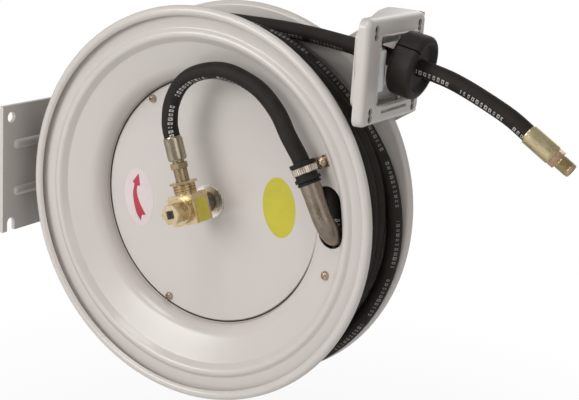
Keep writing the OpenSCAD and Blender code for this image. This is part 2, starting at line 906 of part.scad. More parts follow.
module ratchet_screws() {
  color([0.62, 0.62, 0.60])
    on_drum()
      rotate([0, 0, 45])
        rings(4, sleeve_r + 5) {
          disc(screw_r - 0.5, -wheel_z - ratchet_t - 1, -wheel_z + 6);
          disc(screw_r + 1, -wheel_z - ratchet_t - 2, -wheel_z - ratchet_t);
        }
}

module pawl() {
  color([0.40, 0.40, 0.40])
    on_drum()
      translate([-pawl_px, 0, -pawl_z - pawl_t / 2])
        rotate([0, 0, -pawl_swing])
          difference() {
            union() {
              cylinder(r = pawl_pin_r + 4, h = pawl_t);
              linear_extrude(pawl_t)
                polygon([[0, 8], [18, 4.5], [pawl_l - 5, 2.4], [pawl_l, 1.5], [pawl_l, -1.5], [pawl_l - 5, -2.4],
                  [18, -4.5], [0, -8]]);
            }
            translate([0, 0, -1])
              cylinder(r = pawl_pin_r + run_gap, h = pawl_t + 2);
          }
}

module pawl_pin() {
  play = 0.15;
  color([0.60, 0.60, 0.58])
    on_drum()
      translate([-pawl_px, 0, 0]) {
        disc(pawl_pin_r, -arm_y, -pawl_z + pawl_t / 2 + 2);
        disc(pawl_pin_r + 2.5, -pawl_z + pawl_t / 2 + play, -pawl_z + pawl_t / 2 + 2);
        disc(pawl_pin_r + 2.5, -arm_y - 1.5, -arm_y);
      }
}

module pawl_spring() {
  wire = 0.8;
  coil = pawl_pin_r + 2.2;
  z0 = -collar_z + wire;
  z1 = -pawl_z - pawl_t / 2 - wire - 0.3;
  n = 64;
  line = [for (i = [0 : n]) let(a = 180 + 20 * i) [-pawl_px + coil * cos(a), coil * sin(a), z0 + (z1 - z0) * i / n]];
  color([0.52, 0.52, 0.52])
    on_drum()
      tube(concat([[-pawl_px - coil, 12, z0]], line), wire, 6, [0, 0, 1]);
}

// ---------------------------------------------------------------- swivel and inner hose

module in_swivel() {
  on_drum()
    rotate([0, 0, swivel_a])
      children();
}

module on_port(y0) {
  in_swivel()
    translate([0, y0, port_z])
      rotate([-90, 0, 0])
        children();
}

module swivel_body() {
  half = block_w / 2;
  ring_w = 1.2;
  color([0.72, 0.56, 0.28])
    difference() {
      union() {
        in_swivel() {
          translate([-half, -half, block_z])
            cube([block_w, block_w, block_top - block_z]);
          disc(half - 2, block_top - 1, block_top + block_cap);
        }
        on_port(half) {
          disc(port_r, -1, 12);
          for (z = [1.5 : 3 : 7.5])
            disc(port_r + 0.8, z, z + 1.6);
          rotate([0, 0, 30])
            hex(26, 11, 14);
        }
      }
      in_swivel() {
        disc(run_r, block_z - 1, block_top + 1);
        disc(stem_r, block_top, block_top + block_cap + 1);
        disc(run_r + 1.45, port_z - 3, port_z + 3);
        for (z = [port_z - 8, port_z + 8])
          disc(run_r + 2.15, z - ring_w, z + ring_w);
      }
      on_port(0)
        cylinder(r = 5, h = 50);
    }
}

module swivel_plug() {
  socket = 9.5;
  z = block_top + block_cap;
  color([0.66, 0.65, 0.60])
    in_swivel()
      difference() {
        union() {
          hex(plug_af, z, z + plug_l);
          disc(stem_r, block_top + 1.2, z);
        }
        translate([-socket / 2, -socket / 2, z + plug_l - 8])
          cube([socket, socket, 9]);
      }
}

module swivel_tag() {
  tag_w = 25;
  tag_h = 21;
  tag_t = 0.5;
  color([0.90, 0.78, 0.12])
    in_swivel()
      translate([block_w / 2, 0, (block_z + block_top) / 2])
        translate([0, -tag_w / 2 - 2.9, -tag_h / 2])
          cube([tag_t, tag_w, tag_h]);
}

module o_rings() {
  color([0.08, 0.08, 0.08])
    in_swivel()
      for (z = [port_z - 8, port_z + 8])
        translate([0, 0, z])
          rotate_extrude()
            translate([run_r + 1.05, 0])
              circle(r = 1, $fn = 24);
}

module inner_nut() {
  out = block_w / 2 + 14;
  color([0.78, 0.70, 0.36])
    on_port(out)
      difference() {
        union() {
          cylinder(r = 7.5, h = 14.1);
          hex(18, 14, 20.4);
          cylinder(r = stem_r, h = 35.6);
        }
        translate([0, 0, -1])
          cylinder(r = barb_bore, h = 40);
      }
}

module inner_ferrule() {
  out = block_w / 2 + 36.7;
  color([0.80, 0.72, 0.38])
    on_port(out)
      ferrule(26);
}

module ferrule(l) {
  difference() {
    union() {
      translate([0, 0, 1.5])
        cylinder(d = ferrule_d, h = l - 3);
      cylinder(d = ferrule_d - 2, h = l);
    }
    translate([0, 0, -1])
      cylinder(r = stem_r + screw_fit, h = l + 2);
    translate([0, 0, l - seat_in - 1])
      cylinder(r = hose_r + screw_fit, h = l);
  }
}

inner_route = [[-22.5, 62.9, 52], [-26.2, 73.2, 52], [-28.9, 80.7, 52], [-30.5, 90, 52], [-29.5, 108, 52],
  [-21, 128, 52], [-6, 142.5, 52], [16, 151, 52], [38, 153, 52], [62, 147, 52], [82, 137, 52], [101, 119, 52],
  [113.5, 99.5, 52], [122.6, 87.2, 52], [129.9, 77.26, 52], [135.6, 66.7, 52], [140.16, 58.25, 52]];

module inner_hose() {
  color([0.22, 0.22, 0.23])
    on_drum()
      tube(route(inner_route, 2), hose_r, 12, [0, 0, 1]);
}

module at_clip() {
  on_drum()
    translate([clip_x, clip_y, port_z])
      rotate([0, 0, clip_a])
        children();
}

module hose_clip() {
  band_r = cuff_r + 0.05;
  leg_h = port_z - cone_z(clip_foot_r) + 1.78;
  color([0.66, 0.66, 0.64])
    difference() {
      union() {
        at_clip() {
          rotate([0, 90, 0])
            cylinder(r = band_r + clip_t, h = clip_w, center = true);
          translate([-clip_w / 2, 5.5, -leg_h])
            cube([clip_w, clip_t, leg_h]);
        }
        on_drum()
          on_cone(clip_foot_r, clip_foot_a)
            rotate([0, 0, 1.5])
              translate([-11.4, -6, half_t + foot_gap])
                cube([18.4, 12, clip_t]);
      }
      at_clip()
        rotate([0, 90, 0])
          cylinder(r = band_r, h = clip_w + 2, center = true);
      on_drum()
        on_cone(clip_foot_r, clip_foot_a)
          cylinder(r = screw_r + screw_fit, h = 10, $fn = fine);
    }
}

module hose_cuff() {
  ring_r = cuff_r + 1.8;
  bore = hose_r + 0.1;
  color([0.07, 0.07, 0.07])
    at_clip()
      rotate([0, 90, 0])
        rotate_extrude()
          polygon([[bore, -8.5], [ring_r, -8.5], [ring_r, -4.2], [cuff_r, -4.2], [cuff_r, 7.5], [ring_r, 7.5],
            [ring_r, 11.5], [cuff_r - 0.4, 11.5], [cuff_r - 0.4, 12.4], [cuff_r + 0.5, 12.4],
            [cuff_r + 0.5, 15.2], [neck_r + 0.05, 15.2], [neck_r + 0.05, neck_s - 0.1], [bore, neck_s - 0.1]]);
}

module gooseneck() {
  color([0.64, 0.63, 0.60])
    at_clip() {
      translate([neck_s, 0, 0])
        rotate([0, 90, 0])
          washer(neck_r, neck_bore, 0, neck_run - neck_s);
      rotate([neck_lean, 0, 0])
        translate([neck_run, 0, -neck_bend])
          rotate([90, 0, 0])
            rotate([0, 0, 90 - neck_turn])
              rotate_extrude(angle = neck_turn)
                translate([neck_bend, 0])
                  difference() {
                    circle(r = neck_r);
                    circle(r = neck_bore);
                  }
    }
}

module flange_screws() {
  color([0.62, 0.62, 0.60])
    on_drum() {
      on_cone(clip_foot_r, clip_foot_a) {
        flange_screw(half_t + clip_t + foot_gap, 5.5, 1.3);
        hex(8.6, half_t + clip_t + foot_gap + 1, half_t + clip_t + foot_gap + 5);
      }
      on_cone(anchor_r, anchor_a)
        flange_screw(half_t + foot_gap, screw_r * 1.7, 2.6);
    }
}

module flange_screw(z, head_r, head) {
  hex(8, -half_t - 4, -half_t - foot_gap);
  disc(screw_r, -half_t - 5.5, z + 1);
  disc(head_r, z, z + head);
}

// ---------------------------------------------------------------- hose on the drum and beyond

function wind_at(a) = let(back = (a - 90) / 360, r = wind_r + lift_r * max(0, 1 - (a - wind_a1) / 60),
  y = wind_y1 - layer_pitch * (a - wind_a1) / 360) [drum_x + r * cos(a), y, r * sin(a)];
wind_a1 = 90 + asin(hose_d / (wind_r + lift_r));
wind_a0 = wind_a1 + 360 * turns;
wind_n = ceil(turn_rings * turns);
coil_pts = [for (i = [0 : wind_n]) wind_at(wind_a0 + (wind_a1 - wind_a0) * i / wind_n)];
start_dir = unit(coil_pts[0] - coil_pts[1]);
lead_h = coil_pts[wind_n][2];
wound_pts = concat([coil_pts[0] + start_dir * hose_d], coil_pts, [[drum_x, wind_y1, lead_h]]);

self_gap = min([for (i = [0 : len(wound_pts) - 1], j = [i + 12 : 1 : len(wound_pts) - 1])
  norm(wound_pts[i] - wound_pts[j])]) - hose_d;
echo(self_gap = self_gap);

module wound_hose() {
  color([0.22, 0.22, 0.23])
    tube(wound_pts, hose_r, 6, [0, 1, 0]);
}

lead_route = [[0, wind_y1, lead_h], [17.4, wind_y1, lead_h], [40, 32, 192.5], [65, 30, 192],
  [95, 25, 191], [130, 15, 189.2], [160, 5, 187.5], [184.6, 0, 185.52], [201.7, 0, 182.2]];

module lead_hose() {
  color([0.22, 0.22, 0.23])
    translate([drum_x, 0, 0])
      tube(route(lead_route, 2), hose_r, 12, [0, 1, 0]);
}

free_route = [[201.7, 0, 182.2], [218.8, 0, 178.88], [236, 0, 175.53], [249.3, 0, 172.7],
  [262, 0, 169.4], [276.3, 0, 164.4], [292.5, 0, 157.8], [313.8, 0, 148.3], [329, 0, 140.5],
  [343.7, 0, 131], [353.85, 0, 124.58]];

module free_hose() {
  color([0.22, 0.22, 0.23])
    translate([drum_x, 0, 0])
      tube(route(free_route, 2), hose_r, 12, [0, 1, 0]);
}

// ---------------------------------------------------------------- ball stop and end fitting

module on_hose() {
  translate([drum_x + ball_x, 0, ball_z])
    rotate([0, 90 + fall_a, 0])
      rotate([0, 0, seam_a])
        children();
}

module ball_half(s) {
  h = ball_w / 2;
  line = ring_of([[hose_r + ball_clear, -h, 0], [ball_r, -h, 5], [ball_r, h, 5], [ball_r - 6.5, h, 1],
    [ball_r - 10.5, h - dish, 1], [hose_r + ball_clear, h - dish, 0]], 5);
  color([0.06, 0.06, 0.06])
    on_hose()
      difference() {
        rotate_extrude()
          polygon(line);
        translate([-big, s > 0 ? -big : -ball_gap / 2, -big])
          cube([2 * big, big + ball_gap / 2, 2 * big]);
        for (x = [-ball_screw_x, ball_screw_x])
          translate([x, 0, -1.5])
            rotate([90, 0, 0]) {
              translate([0, 0, -ball_r])
                cylinder(r = screw_r + screw_fit, h = ball_r + 17, $fn = fine);
              if (s > 0)
                translate([0, 0, -ball_r])
                  cylinder(r = 4.6, h = ball_r - 14, $fn = fine);
            }
      }
}

module ball_upper() {
  ball_half(1);
}

module ball_lower() {
  ball_half(-1);
}

module ball_screws() {
  color([0.55, 0.55, 0.54])
    on_hose()
      for (x = [-ball_screw_x, ball_screw_x])
        translate([x, 0, -1.5])
          rotate([90, 0, 0]) {
            disc(screw_r, -16, 16.5);
            disc(4.3, -17.5, -14);
          }
}

module at_end() {
  translate([drum_x + end_x, 0, end_z])
    rotate([0, 90 + end_a, 0])
      rotate([0, 0, 90])
        children();
}

module end_ferrule() {
  color([0.80, 0.72, 0.38])
    at_end()
      translate([0, 0, ferrule_l])
        mirror([0, 0, 1])
          ferrule(ferrule_l);
}

module end_fitting() {
  hex_l = 6;
  stem_l = ferrule_l - seat_in - 2;
  color([0.78, 0.58, 0.36])
    at_end()
      difference() {
        union() {
          disc(stem_r, ferrule_l - stem_l, ferrule_l + 1);
          hex(end_af, ferrule_l, ferrule_l + hex_l);
          disc(male_d / 2, ferrule_l + hex_l - 1, ferrule_l + hex_l + male_l - 1);
          translate([0, 0, ferrule_l + hex_l + male_l - 1])
            cylinder(r1 = male_d / 2, r2 = male_d / 2 - 1, h = 1);
        }
        disc(barb_bore, ferrule_l - stem_l - 1, ferrule_l + hex_l + male_l + 1);
      }
}

wall_bracket();
guide_arm();
arm_bolts();
fairlead_frame();
roller_box();
roller_pins();
roller_front();
roller_rear();
roller_low();
roller_top();
spindle();
spindle_nut();
spindle_washer();
arbor();
thrust_washer();
front_flange();
rear_flange();
drum_core();
hose_core();
spring_case();
case_rivets();
power_spring();
cover_disc();
cover_screws();
front_hub();
front_bush();
rear_hub();
hub_rivets();
rear_bush();
ratchet_wheel();
ratchet_screws();
pawl();
pawl_pin();
pawl_spring();
swivel_body();
swivel_plug();
swivel_tag();
o_rings();
inner_nut();
inner_ferrule();
inner_hose();
hose_clip();
hose_cuff();
gooseneck();
flange_screws();
wound_hose();
lead_hose();
free_hose();
ball_upper();
ball_lower();
ball_screws();
end_ferrule();
end_fitting();
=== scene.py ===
import bpy
import bmesh
import math
from mathutils import Matrix, Vector


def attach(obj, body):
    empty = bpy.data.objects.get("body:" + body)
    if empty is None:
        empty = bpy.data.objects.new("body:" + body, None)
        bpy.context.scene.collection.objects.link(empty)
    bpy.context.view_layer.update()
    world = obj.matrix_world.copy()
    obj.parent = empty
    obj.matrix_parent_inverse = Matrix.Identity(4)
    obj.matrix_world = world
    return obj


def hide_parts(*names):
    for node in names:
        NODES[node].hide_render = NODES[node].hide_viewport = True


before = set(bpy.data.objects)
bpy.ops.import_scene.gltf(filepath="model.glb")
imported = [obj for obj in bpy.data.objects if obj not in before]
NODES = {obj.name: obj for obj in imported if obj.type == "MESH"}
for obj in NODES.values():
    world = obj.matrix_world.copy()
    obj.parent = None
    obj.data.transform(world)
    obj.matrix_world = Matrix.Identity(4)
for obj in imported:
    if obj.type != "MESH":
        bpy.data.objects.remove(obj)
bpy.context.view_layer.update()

# ------------------------------------------------------------------ sizes in millimetres and degrees
MM = 0.001
DRUM_X = 252.0
FLANGE_Z = 44.5
SHEET_T = 1.6
CUP_R = 139.3
CONE_Z = 27.5
CONE_LEAN = 18.344
DISC_R = 136.0
DISC_Z = 13.0

# the outer layer: its centre line runs between the flanges, from angle A0 round to A1 at its last end,
# where it ends short of the limit and has risen by LIFT
HOSE_D = 17.4
HOSE_R = HOSE_D / 2
TURN_GAP = 0.45
PITCH = HOSE_D + TURN_GAP
WIND_R = 190.0
FLANGE_GAP = 0.4
WIND_LIMIT = FLANGE_Z - SHEET_T / 2 - FLANGE_GAP - HOSE_R
WIND_SHORT = 1.6
WIND_Y1 = WIND_LIMIT - WIND_SHORT
TURNS = (2 * WIND_LIMIT - WIND_SHORT) / PITCH
LIFT = 3.3
A1 = 90 + math.degrees(math.asin(HOSE_D / (WIND_R + LIFT)))
A0 = A1 + 360 * TURNS

# the swivel's port: its height before the drum, its lean, and its collar's distance from the axis
PORT_Z = 52
PORT_LEAN = math.radians(19.7)
PORT_X = 16

# the fairlead's face and the window in it
FACE_X = 453.7
WINDOW_Y = 42
WINDOW_Z0 = 137.5
WINDOW_Z1 = 209.5
WINDOW_ROUND = 6

# the outlet's ferrule starts here and runs along this line, in metres
END = Vector((0.5957, 0, 0.131))
END_WAY = Vector((0.845262, 0, -0.534352))


def row_point(x, y, z):
    """Millimetres in the part's own frame to a point in metres."""
    return Vector((x * MM, y * MM, z * MM))


def on_drum(x, y, z):
    """Drum-local millimetres (x right, y up, z to the front) to a point in metres."""
    return Vector(((DRUM_X + x) * MM, -z * MM, y * MM))


def drum_way(x, y, z):
    """A direction in the drum's own axes."""
    return Vector((x, -z, y))


def polar(r, a):
    """The x and y of radius r at angle a in radians."""
    return r * math.cos(a), r * math.sin(a)


# ------------------------------------------------------------------ camera, fitted to the photograph
CAMERA_AZIMUTH = math.radians(28.7589)
CAMERA_ELEVATION = math.radians(15.1366)
CAMERA_ROLL = math.radians(4.0215)
CAMERA_TARGET = Vector((0.34436, 0.0, 0.01666))
CAMERA_DISTANCE = 1.28095
CAMERA_LENS = 74.65


def make_camera():
    x, y = polar(math.cos(CAMERA_ELEVATION), CAMERA_AZIMUTH - math.pi / 2)
    back = Vector((x, y, math.sin(CAMERA_ELEVATION)))
    right = (-back).cross(Vector((0, 0, 1))).normalized()
    up = right.cross(-back)
    c, s = polar(1, CAMERA_ROLL)
    m = Matrix((c * right + s * up, c * up - s * right, back)).transposed().to_4x4()
    m.translation = CAMERA_TARGET + back * CAMERA_DISTANCE
    camera = bpy.data.cameras.new("camera")
    camera.lens = CAMERA_LENS
    camera.sensor_width = 36.0
    camera.sensor_fit = "HORIZONTAL"
    camera.clip_start = 0.05
    camera.clip_end = 50
    ob = bpy.data.objects.new("camera", camera)
    bpy.context.scene.collection.objects.link(ob)
    ob.matrix_world = m
    bpy.context.scene.camera = ob


# ------------------------------------------------------------------ shader nodes
def new_material(name):
    m = bpy.data.materials.new(name)
    m.use_nodes = True
    nt = m.node_tree
    nt.nodes.clear()
    out = nt.nodes.new("ShaderNodeOutputMaterial")
    p = nt.nodes.new("ShaderNodeBsdfPrincipled")
    nt.links.new(p.outputs[0], out.inputs[0])
    return m, nt, p


def feed(nt, value, socket):
    """Links an output to a socket, or sets the socket where the value is a plain number or colour."""
    if isinstance(value, bpy.types.NodeSocket):
        nt.links.new(value, socket)
    else:
        socket.default_value = value


def node(nt, kind, **settings):
    n = nt.nodes.new(kind)
    for key, value in settings.items():
        setattr(n, key, value)
    return n


def calc(nt, operation, *values):
    n = node(nt, "ShaderNodeMath", operation=operation)
    for value, socket in zip(values, n.inputs):
        feed(nt, value, socket)
    return n.outputs[0]


def add(nt, a, b):
    return calc(nt, "ADD", a, b)


def times(nt, a, b):
    return calc(nt, "MULTIPLY", a, b)


def less(nt, a, b):
    return calc(nt, "LESS_THAN", a, b)


def mix_colours(nt, factor, a, b, blend="MIX"):
    n = node(nt, "ShaderNodeMix", data_type="RGBA", blend_type=blend)
    feed(nt, factor, n.inputs["Factor"])
    feed(nt, a, n.inputs[6])
    feed(nt, b, n.inputs[7])
    return n.outputs[2]


def mix_shaders(nt, factor, a, b):
    n = nt.nodes.new("ShaderNodeMixShader")
    nt.links.new(factor, n.inputs[0])
    nt.links.new(a, n.inputs[1])
    nt.links.new(b, n.inputs[2])
    return n.outputs[0]


def coords(nt):
    return nt.nodes.new("ShaderNodeTexCoord").outputs["Object"]


def noise(nt, where, scale, detail, rough=0.6, distortion=0.0):
    n = nt.nodes.new("ShaderNodeTexNoise")
    n.inputs["Scale"].default_value = scale
    n.inputs["Detail"].default_value = detail
    n.inputs["Roughness"].default_value = rough
    n.inputs["Distortion"].default_value = distortion
    nt.links.new(where, n.inputs["Vector"])
    return n.outputs["Fac"]


def stretched(nt, where, scale):
    n = nt.nodes.new("ShaderNodeMapping")
    n.inputs["Scale"].default_value = scale
    nt.links.new(where, n.inputs["Vector"])
    return n.outputs[0]


def ramp(nt, factor, stops):
    n = nt.nodes.new("ShaderNodeValToRGB")
    elements = n.color_ramp.elements
    elements.remove(elements[-1])
    for i, (position, colour) in enumerate(stops):
        e = elements[0] if i == 0 else elements.new(position)
        e.position = position
        e.color = (*colour, 1)
    nt.links.new(factor, n.inputs[0])
    return n.outputs[0]


def remap(nt, value, out0, out1, in0=0.0, in1=1.0):
    """From out0 to out1 while the value goes from in0 to in1, and no further."""
    n = nt.nodes.new("ShaderNodeMapRange")
    n.inputs["From Min"].default_value = in0
    n.inputs["From Max"].default_value = in1
    n.inputs["To Min"].default_value = out0
    n.inputs["To Max"].default_value = out1
    nt.links.new(value, n.inputs["Value"])
    return n.outputs[0]


def bump(nt, p, height, strength, distance):
    n = nt.nodes.new("ShaderNodeBump")
    n.inputs["Strength"].default_value = strength
    n.inputs["Distance"].default_value = distance
    nt.links.new(height, n.inputs["Height"])
    nt.links.new(n.outputs[0], p.inputs["Normal"])


def tone(c, f):
    return tuple(min(1, x * f) for x in c)


def crevice_shade(nt, colour, reach, low):
    """Painted shade: darkens a colour where other surfaces stand close, as shade falls in a seam."""
    ao = node(nt, "ShaderNodeAmbientOcclusion", samples=6)
    ao.inputs["Distance"].default_value = reach
    shade = ramp(nt, ao.outputs["AO"], [(0.12, (low, low * 0.97, low * 0.94)), (0.5, (1, 1, 1))])
    return mix_colours(nt, 1.0, colour, shade, "MULTIPLY")


# ------------------------------------------------------------------ materials
def paint(name, c, rough=0.24, shade_corners=False):
    """Powder coat: fine orange peel, faint blotches and, if asked, painted shade in the corners."""
    m, nt, p = new_material(name)
    co = coords(nt)
    colour = ramp(nt, noise(nt, co, 9, 3), [(0.30, tone(c, 0.985)), (0.5, c), (0.70, tone(c, 1.01))])
    warm = (c[0] * 0.995, c[1] * 0.99, c[2] * 0.98, 1)
    colour = mix_colours(nt, remap(nt, noise(nt, co, 14, 2, 0.5), 0, 0.5, 0.4, 0.8), colour, warm)
    # Painted shade: the paint darkens in seams and corners where other surfaces stand close.
    if shade_corners:
        colour = crevice_shade(nt, colour, 0.0045, 0.45)
    gloss = remap(nt, noise(nt, co, 22, 2, 0.5), rough - 0.01, rough + 0.03, 0.3, 0.7)
    peel = add(nt, noise(nt, co, 620, 2, 0.5), times(nt, noise(nt, co, 2600, 1, 0.5), 0.25))
    nt.links.new(colour, p.inputs["Base Color"])
    nt.links.new(gloss, p.inputs["Roughness"])
    p.inputs["Specular IOR Level"].default_value = 0.5
    p.inputs["Coat Weight"].default_value = 0.35
    p.inputs["Coat Roughness"].default_value = 0.2
    bump(nt, p, peel, 0.03, 0.0004)
    return m


def metal(name, c, tint, rough, spots=0.5, relief=0.15, fine=0.3, grain=(1, 1, 1), grain_scale=900):
    """Plated or machined metal: stained patches of the tint, a grain in it and painted shade in the
    corners.
    """
    m, nt, p = new_material(name)
    co = coords(nt)
    patches = times(nt, noise(nt, co, 70, 4, 0.65, 0.4), 1 - fine)
    stain = add(nt, patches, times(nt, noise(nt, co, 420, 3), fine))
    colour = ramp(nt, stain, [(0.34, tint), (0.5, c), (0.66, tone(c, 1.12))])
    lines = noise(nt, stretched(nt, co, grain), grain_scale, 2)
    gloss = remap(nt, times(nt, stain, lines), rough - 0.08, rough + spots * 0.5, 0.12, 0.42)
    # Painted shade: the colour darkens where other surfaces stand close.
    nt.links.new(crevice_shade(nt, colour, 0.0025, 0.4), p.inputs["Base Color"])
    nt.links.new(gloss, p.inputs["Roughness"])
    p.inputs["Metallic"].default_value = 1.0
    bump(nt, p, lines, relief, 0.0003)
    return m


def rubber(name, c, rough):
    """Moulded rubber: a dull mottle and a fine tooth."""
    m, nt, p = new_material(name)
    co = coords(nt)
    mottle = noise(nt, co, 55, 4)
    colour = ramp(nt, mottle, [(0.3, tone(c, 0.75)), (0.55, c), (0.75, tone(c, 1.5))])
    nt.links.new(colour, p.inputs["Base Color"])
    nt.links.new(remap(nt, mottle, rough - 0.08, rough + 0.12, 0.3, 0.7), p.inputs["Roughness"])
    p.inputs["Specular IOR Level"].default_value = 0.28
    bump(nt, p, noise(nt, co, 1400, 2), 0.25, 0.0002)
    return m


def plastic(name, c, rough):
    """Turned nylon: a faint mottle and fine lines round the roller."""
    m, nt, p = new_material(name)
    co = coords(nt)
    mottle = noise(nt, co, 120, 3)
    nt.links.new(ramp(nt, mottle, [(0.3, tone(c, 0.94)), (0.6, c)]), p.inputs["Base Color"])
    nt.links.new(remap(nt, mottle, rough - 0.06, rough + 0.1, 0.3, 0.7), p.inputs["Roughness"])
    p.inputs["Subsurface Weight"].default_value = 0.05
    bump(nt, p, noise(nt, stretched(nt, co, (1, 1, 0.25)), 1500, 2), 0.1, 0.0002)
    return m


def label(name, c, dark):
    """Vinyl label: even print with a faint mottle and a fine calendered surface."""
    m, nt, p = new_material(name)
    co = coords(nt)
    mottle = noise(nt, co, 45, 4)
    colour = ramp(nt, mottle, [(0.3, tone(c, dark)), (0.5, c), (0.72, tone(c, 1.05))])
    nt.links.new(colour, p.inputs["Base Color"])
    nt.links.new(remap(nt, mottle, 0.30, 0.46, 0.3, 0.7), p.inputs["Roughness"])
    bump(nt, p, noise(nt, co, 1800, 2, 0.5), 0.06, 0.0001)
    return m


HOSE_RUBBER = (0.0195, 0.0150, 0.0118)
HOSE_INK = (0.66, 0.64, 0.61, 1)
WEAVE_PITCH = 0.0016
WEAVE_STRANDS = 30
LAP_PITCH = 0.045
MARK_PITCH = 0.0050
MARK_GROUP = 0.062


def hose_relief(nt, u, v, speckle):
    """The cloth wrap's print in the rubber: two families of fine diagonal ridges and a winding lap."""
    along = times(nt, u, 2 * math.pi / WEAVE_PITCH)
    around = times(nt, v, 2 * math.pi * WEAVE_STRANDS)
    right = calc(nt, "SINE", add(nt, along, around))
    left = calc(nt, "SINE", calc(nt, "SUBTRACT", along, around))
    lap = calc(nt, "FRACT", add(nt, times(nt, u, 1 / LAP_PITCH), v))
    step = calc(nt, "SMOOTH_MAX", remap(nt, lap, 1, 0, 0, 0.06), 0.0, 0.1)
    rough = add(nt, times(nt, speckle, 0.6), times(nt, step, 0.9))
    return add(nt, times(nt, times(nt, right, left), 0.25), rough)


def hose_marks(nt, u, v, co, at, twist, tall):
    """Where the print lies: worn marks of uneven size in one line, with gaps between groups."""
    line = add(nt, times(nt, u, twist), at)
    side = calc(nt, "FRACT", add(nt, calc(nt, "SUBTRACT", v, line), 0.5))
    off_line = calc(nt, "ABSOLUTE", calc(nt, "SUBTRACT", side, 0.5))
    cell = times(nt, u, 1 / MARK_PITCH)
    off_middle = calc(nt, "ABSOLUTE", calc(nt, "SUBTRACT", calc(nt, "FRACT", cell), 0.5))
    chance = node(nt, "ShaderNodeTexWhiteNoise", noise_dimensions="1D")
    nt.links.new(calc(nt, "FLOOR", cell), chance.inputs["W"])
    draw = chance.outputs["Value"]
    wide = remap(nt, draw, 0.16, 0.36)
    high = remap(nt, calc(nt, "FRACT", times(nt, draw, 7.3)), tall * 0.85, tall * 1.15)
    notch = times(nt, less(nt, off_middle, 0.12), less(nt, off_line, tall * 0.45))
    mark = times(nt, less(nt, off_middle, wide), calc(nt, "SUBTRACT", 1, notch))
    mark = times(nt, mark, less(nt, off_line, high))
    in_group = less(nt, calc(nt, "FRACT", times(nt, u, 1 / MARK_GROUP)), 0.80)
    worn = calc(nt, "GREATER_THAN", noise(nt, co, 1500, 2), 0.40)
    return times(nt, mark, times(nt, in_group, worn))


def hose_cover(name, print_at, twist=0.0, ink=0.9, tall=0.051, below=None):
    """Wire-braid hose with a cloth-wrapped cover. UV x is length in metres, y is the turn round the hose.

    The print runs along the turn print_at and drifts by twist a metre. With below, it shows only
    under that z, in metres.
    """
    m, nt, p = new_material(name)
    uv = node(nt, "ShaderNodeSeparateXYZ")
    nt.links.new(nt.nodes.new("ShaderNodeTexCoord").outputs["UV"], uv.inputs[0])
    u, v = uv.outputs[0], uv.outputs[1]
    co = coords(nt)
    speckle = noise(nt, co, 900, 3)
    mottle = add(nt, times(nt, noise(nt, co, 60, 4), 0.6), times(nt, speckle, 0.4))
    stops = [(0.32, tone(HOSE_RUBBER, 0.62)), (0.5, HOSE_RUBBER), (0.7, tone(HOSE_RUBBER, 1.7))]
    mask = hose_marks(nt, u, v, co, print_at, twist, tall)
    if below is not None:
        place = node(nt, "ShaderNodeSeparateXYZ")
        nt.links.new(co, place.inputs[0])
        mask = times(nt, mask, less(nt, place.outputs[2], below))
    colour = mix_colours(nt, times(nt, mask, ink), ramp(nt, mottle, stops), HOSE_INK)
    nt.links.new(colour, p.inputs["Base Color"])
    nt.links.new(remap(nt, mottle, 0.5, 0.68, 0.35, 0.65), p.inputs["Roughness"])
    p.inputs["Specular IOR Level"].default_value = 0.2
    bump(nt, p, hose_relief(nt, u, v, speckle), 0.35, 0.0003)
    return m


GREY = (0.62, 0.575, 0.54)
PAINT = paint("powder_coat", GREY)
# The arm's paint takes painted shade in its corners.
PAINT_ARM = paint("powder_coat_arm", GREY, 0.3, shade_corners=True)
PRIMER = paint("case_primer", (0.50, 0.47, 0.44), 0.5)

PALE_ZINC = (0.66, 0.65, 0.62)
SPRING_BLUE = (0.20, 0.21, 0.25)
SINTER = (0.50, 0.34, 0.17)
ZINC = metal("zinc_plate", PALE_ZINC, tone(PALE_ZINC, 0.72), 0.30)
DARK = metal("oiled_steel", (0.16, 0.155, 0.15), (0.08, 0.07, 0.06), 0.36)
BLUED = metal("spring_steel", SPRING_BLUE, tone(SPRING_BLUE, 0.72), 0.30, grain=(1, 1, 6))
BRONZE = metal("sintered_bronze", SINTER, tone(SINTER, 0.72), 0.42)
BRASS = metal("brass", (0.66, 0.53, 0.33), (0.54, 0.42, 0.25), 0.24, 0.2, 0.05, 0.15)
GOLD = metal("yellow_zinc", (0.60, 0.51, 0.31), (0.50, 0.42, 0.24), 0.34, 0.1, 0.01, 0.05)
AGED = metal("aged_zinc", (0.40, 0.35, 0.26), (0.33, 0.28, 0.20), 0.22, 0.1, 0.02, 0.1)
AGED_BRASS = metal("aged_brass", (0.36, 0.28, 0.17), (0.25, 0.19, 0.11), 0.24, relief=0.06)
COPPER = metal("copper_zinc", (0.56, 0.38, 0.26), (0.42, 0.36, 0.16), 0.24, relief=0.05)
OLIVE = metal("olive_zinc", (0.44, 0.38, 0.18), (0.34, 0.26, 0.18), 0.22, 0.1, 0.02, 0.1)
SCREW = metal("screw_zinc", (0.52, 0.40, 0.30), (0.36, 0.26, 0.20), 0.22, relief=0.04)
BRIGHT = metal("bright_zinc", (0.86, 0.83, 0.78), (0.72, 0.67, 0.60), 0.25, relief=0.04)
TUBE = metal("tube_steel", (0.30, 0.25, 0.20), (0.22, 0.175, 0.135), 0.30, relief=0.06, grain=(1, 5, 1),
             grain_scale=500)

# Painted shade: a near-black fill set into the cover's seam and behind the fairlead's corner slots.
SHADE_FILL = rubber("painted_shade_fill", (0.055, 0.043, 0.037), 0.7)
BLACK = rubber("moulded_rubber", (0.0165, 0.0125, 0.0100), 0.5)
CUFF = rubber("cuff_rubber", (0.010, 0.010, 0.010), 0.5)
NYLON = plastic("nylon", (0.80, 0.79, 0.76), 0.4)
YELLOW = label("label_yellow", (0.56, 0.50, 0.035), 0.94)
PALE = label("label_pale", (0.70, 0.61, 0.61), 0.96)
RED = label("label_red", (0.47, 0.033, 0.065), 0.9)
TAG = label("tag_yellow", (0.62, 0.53, 0.05), 0.88)


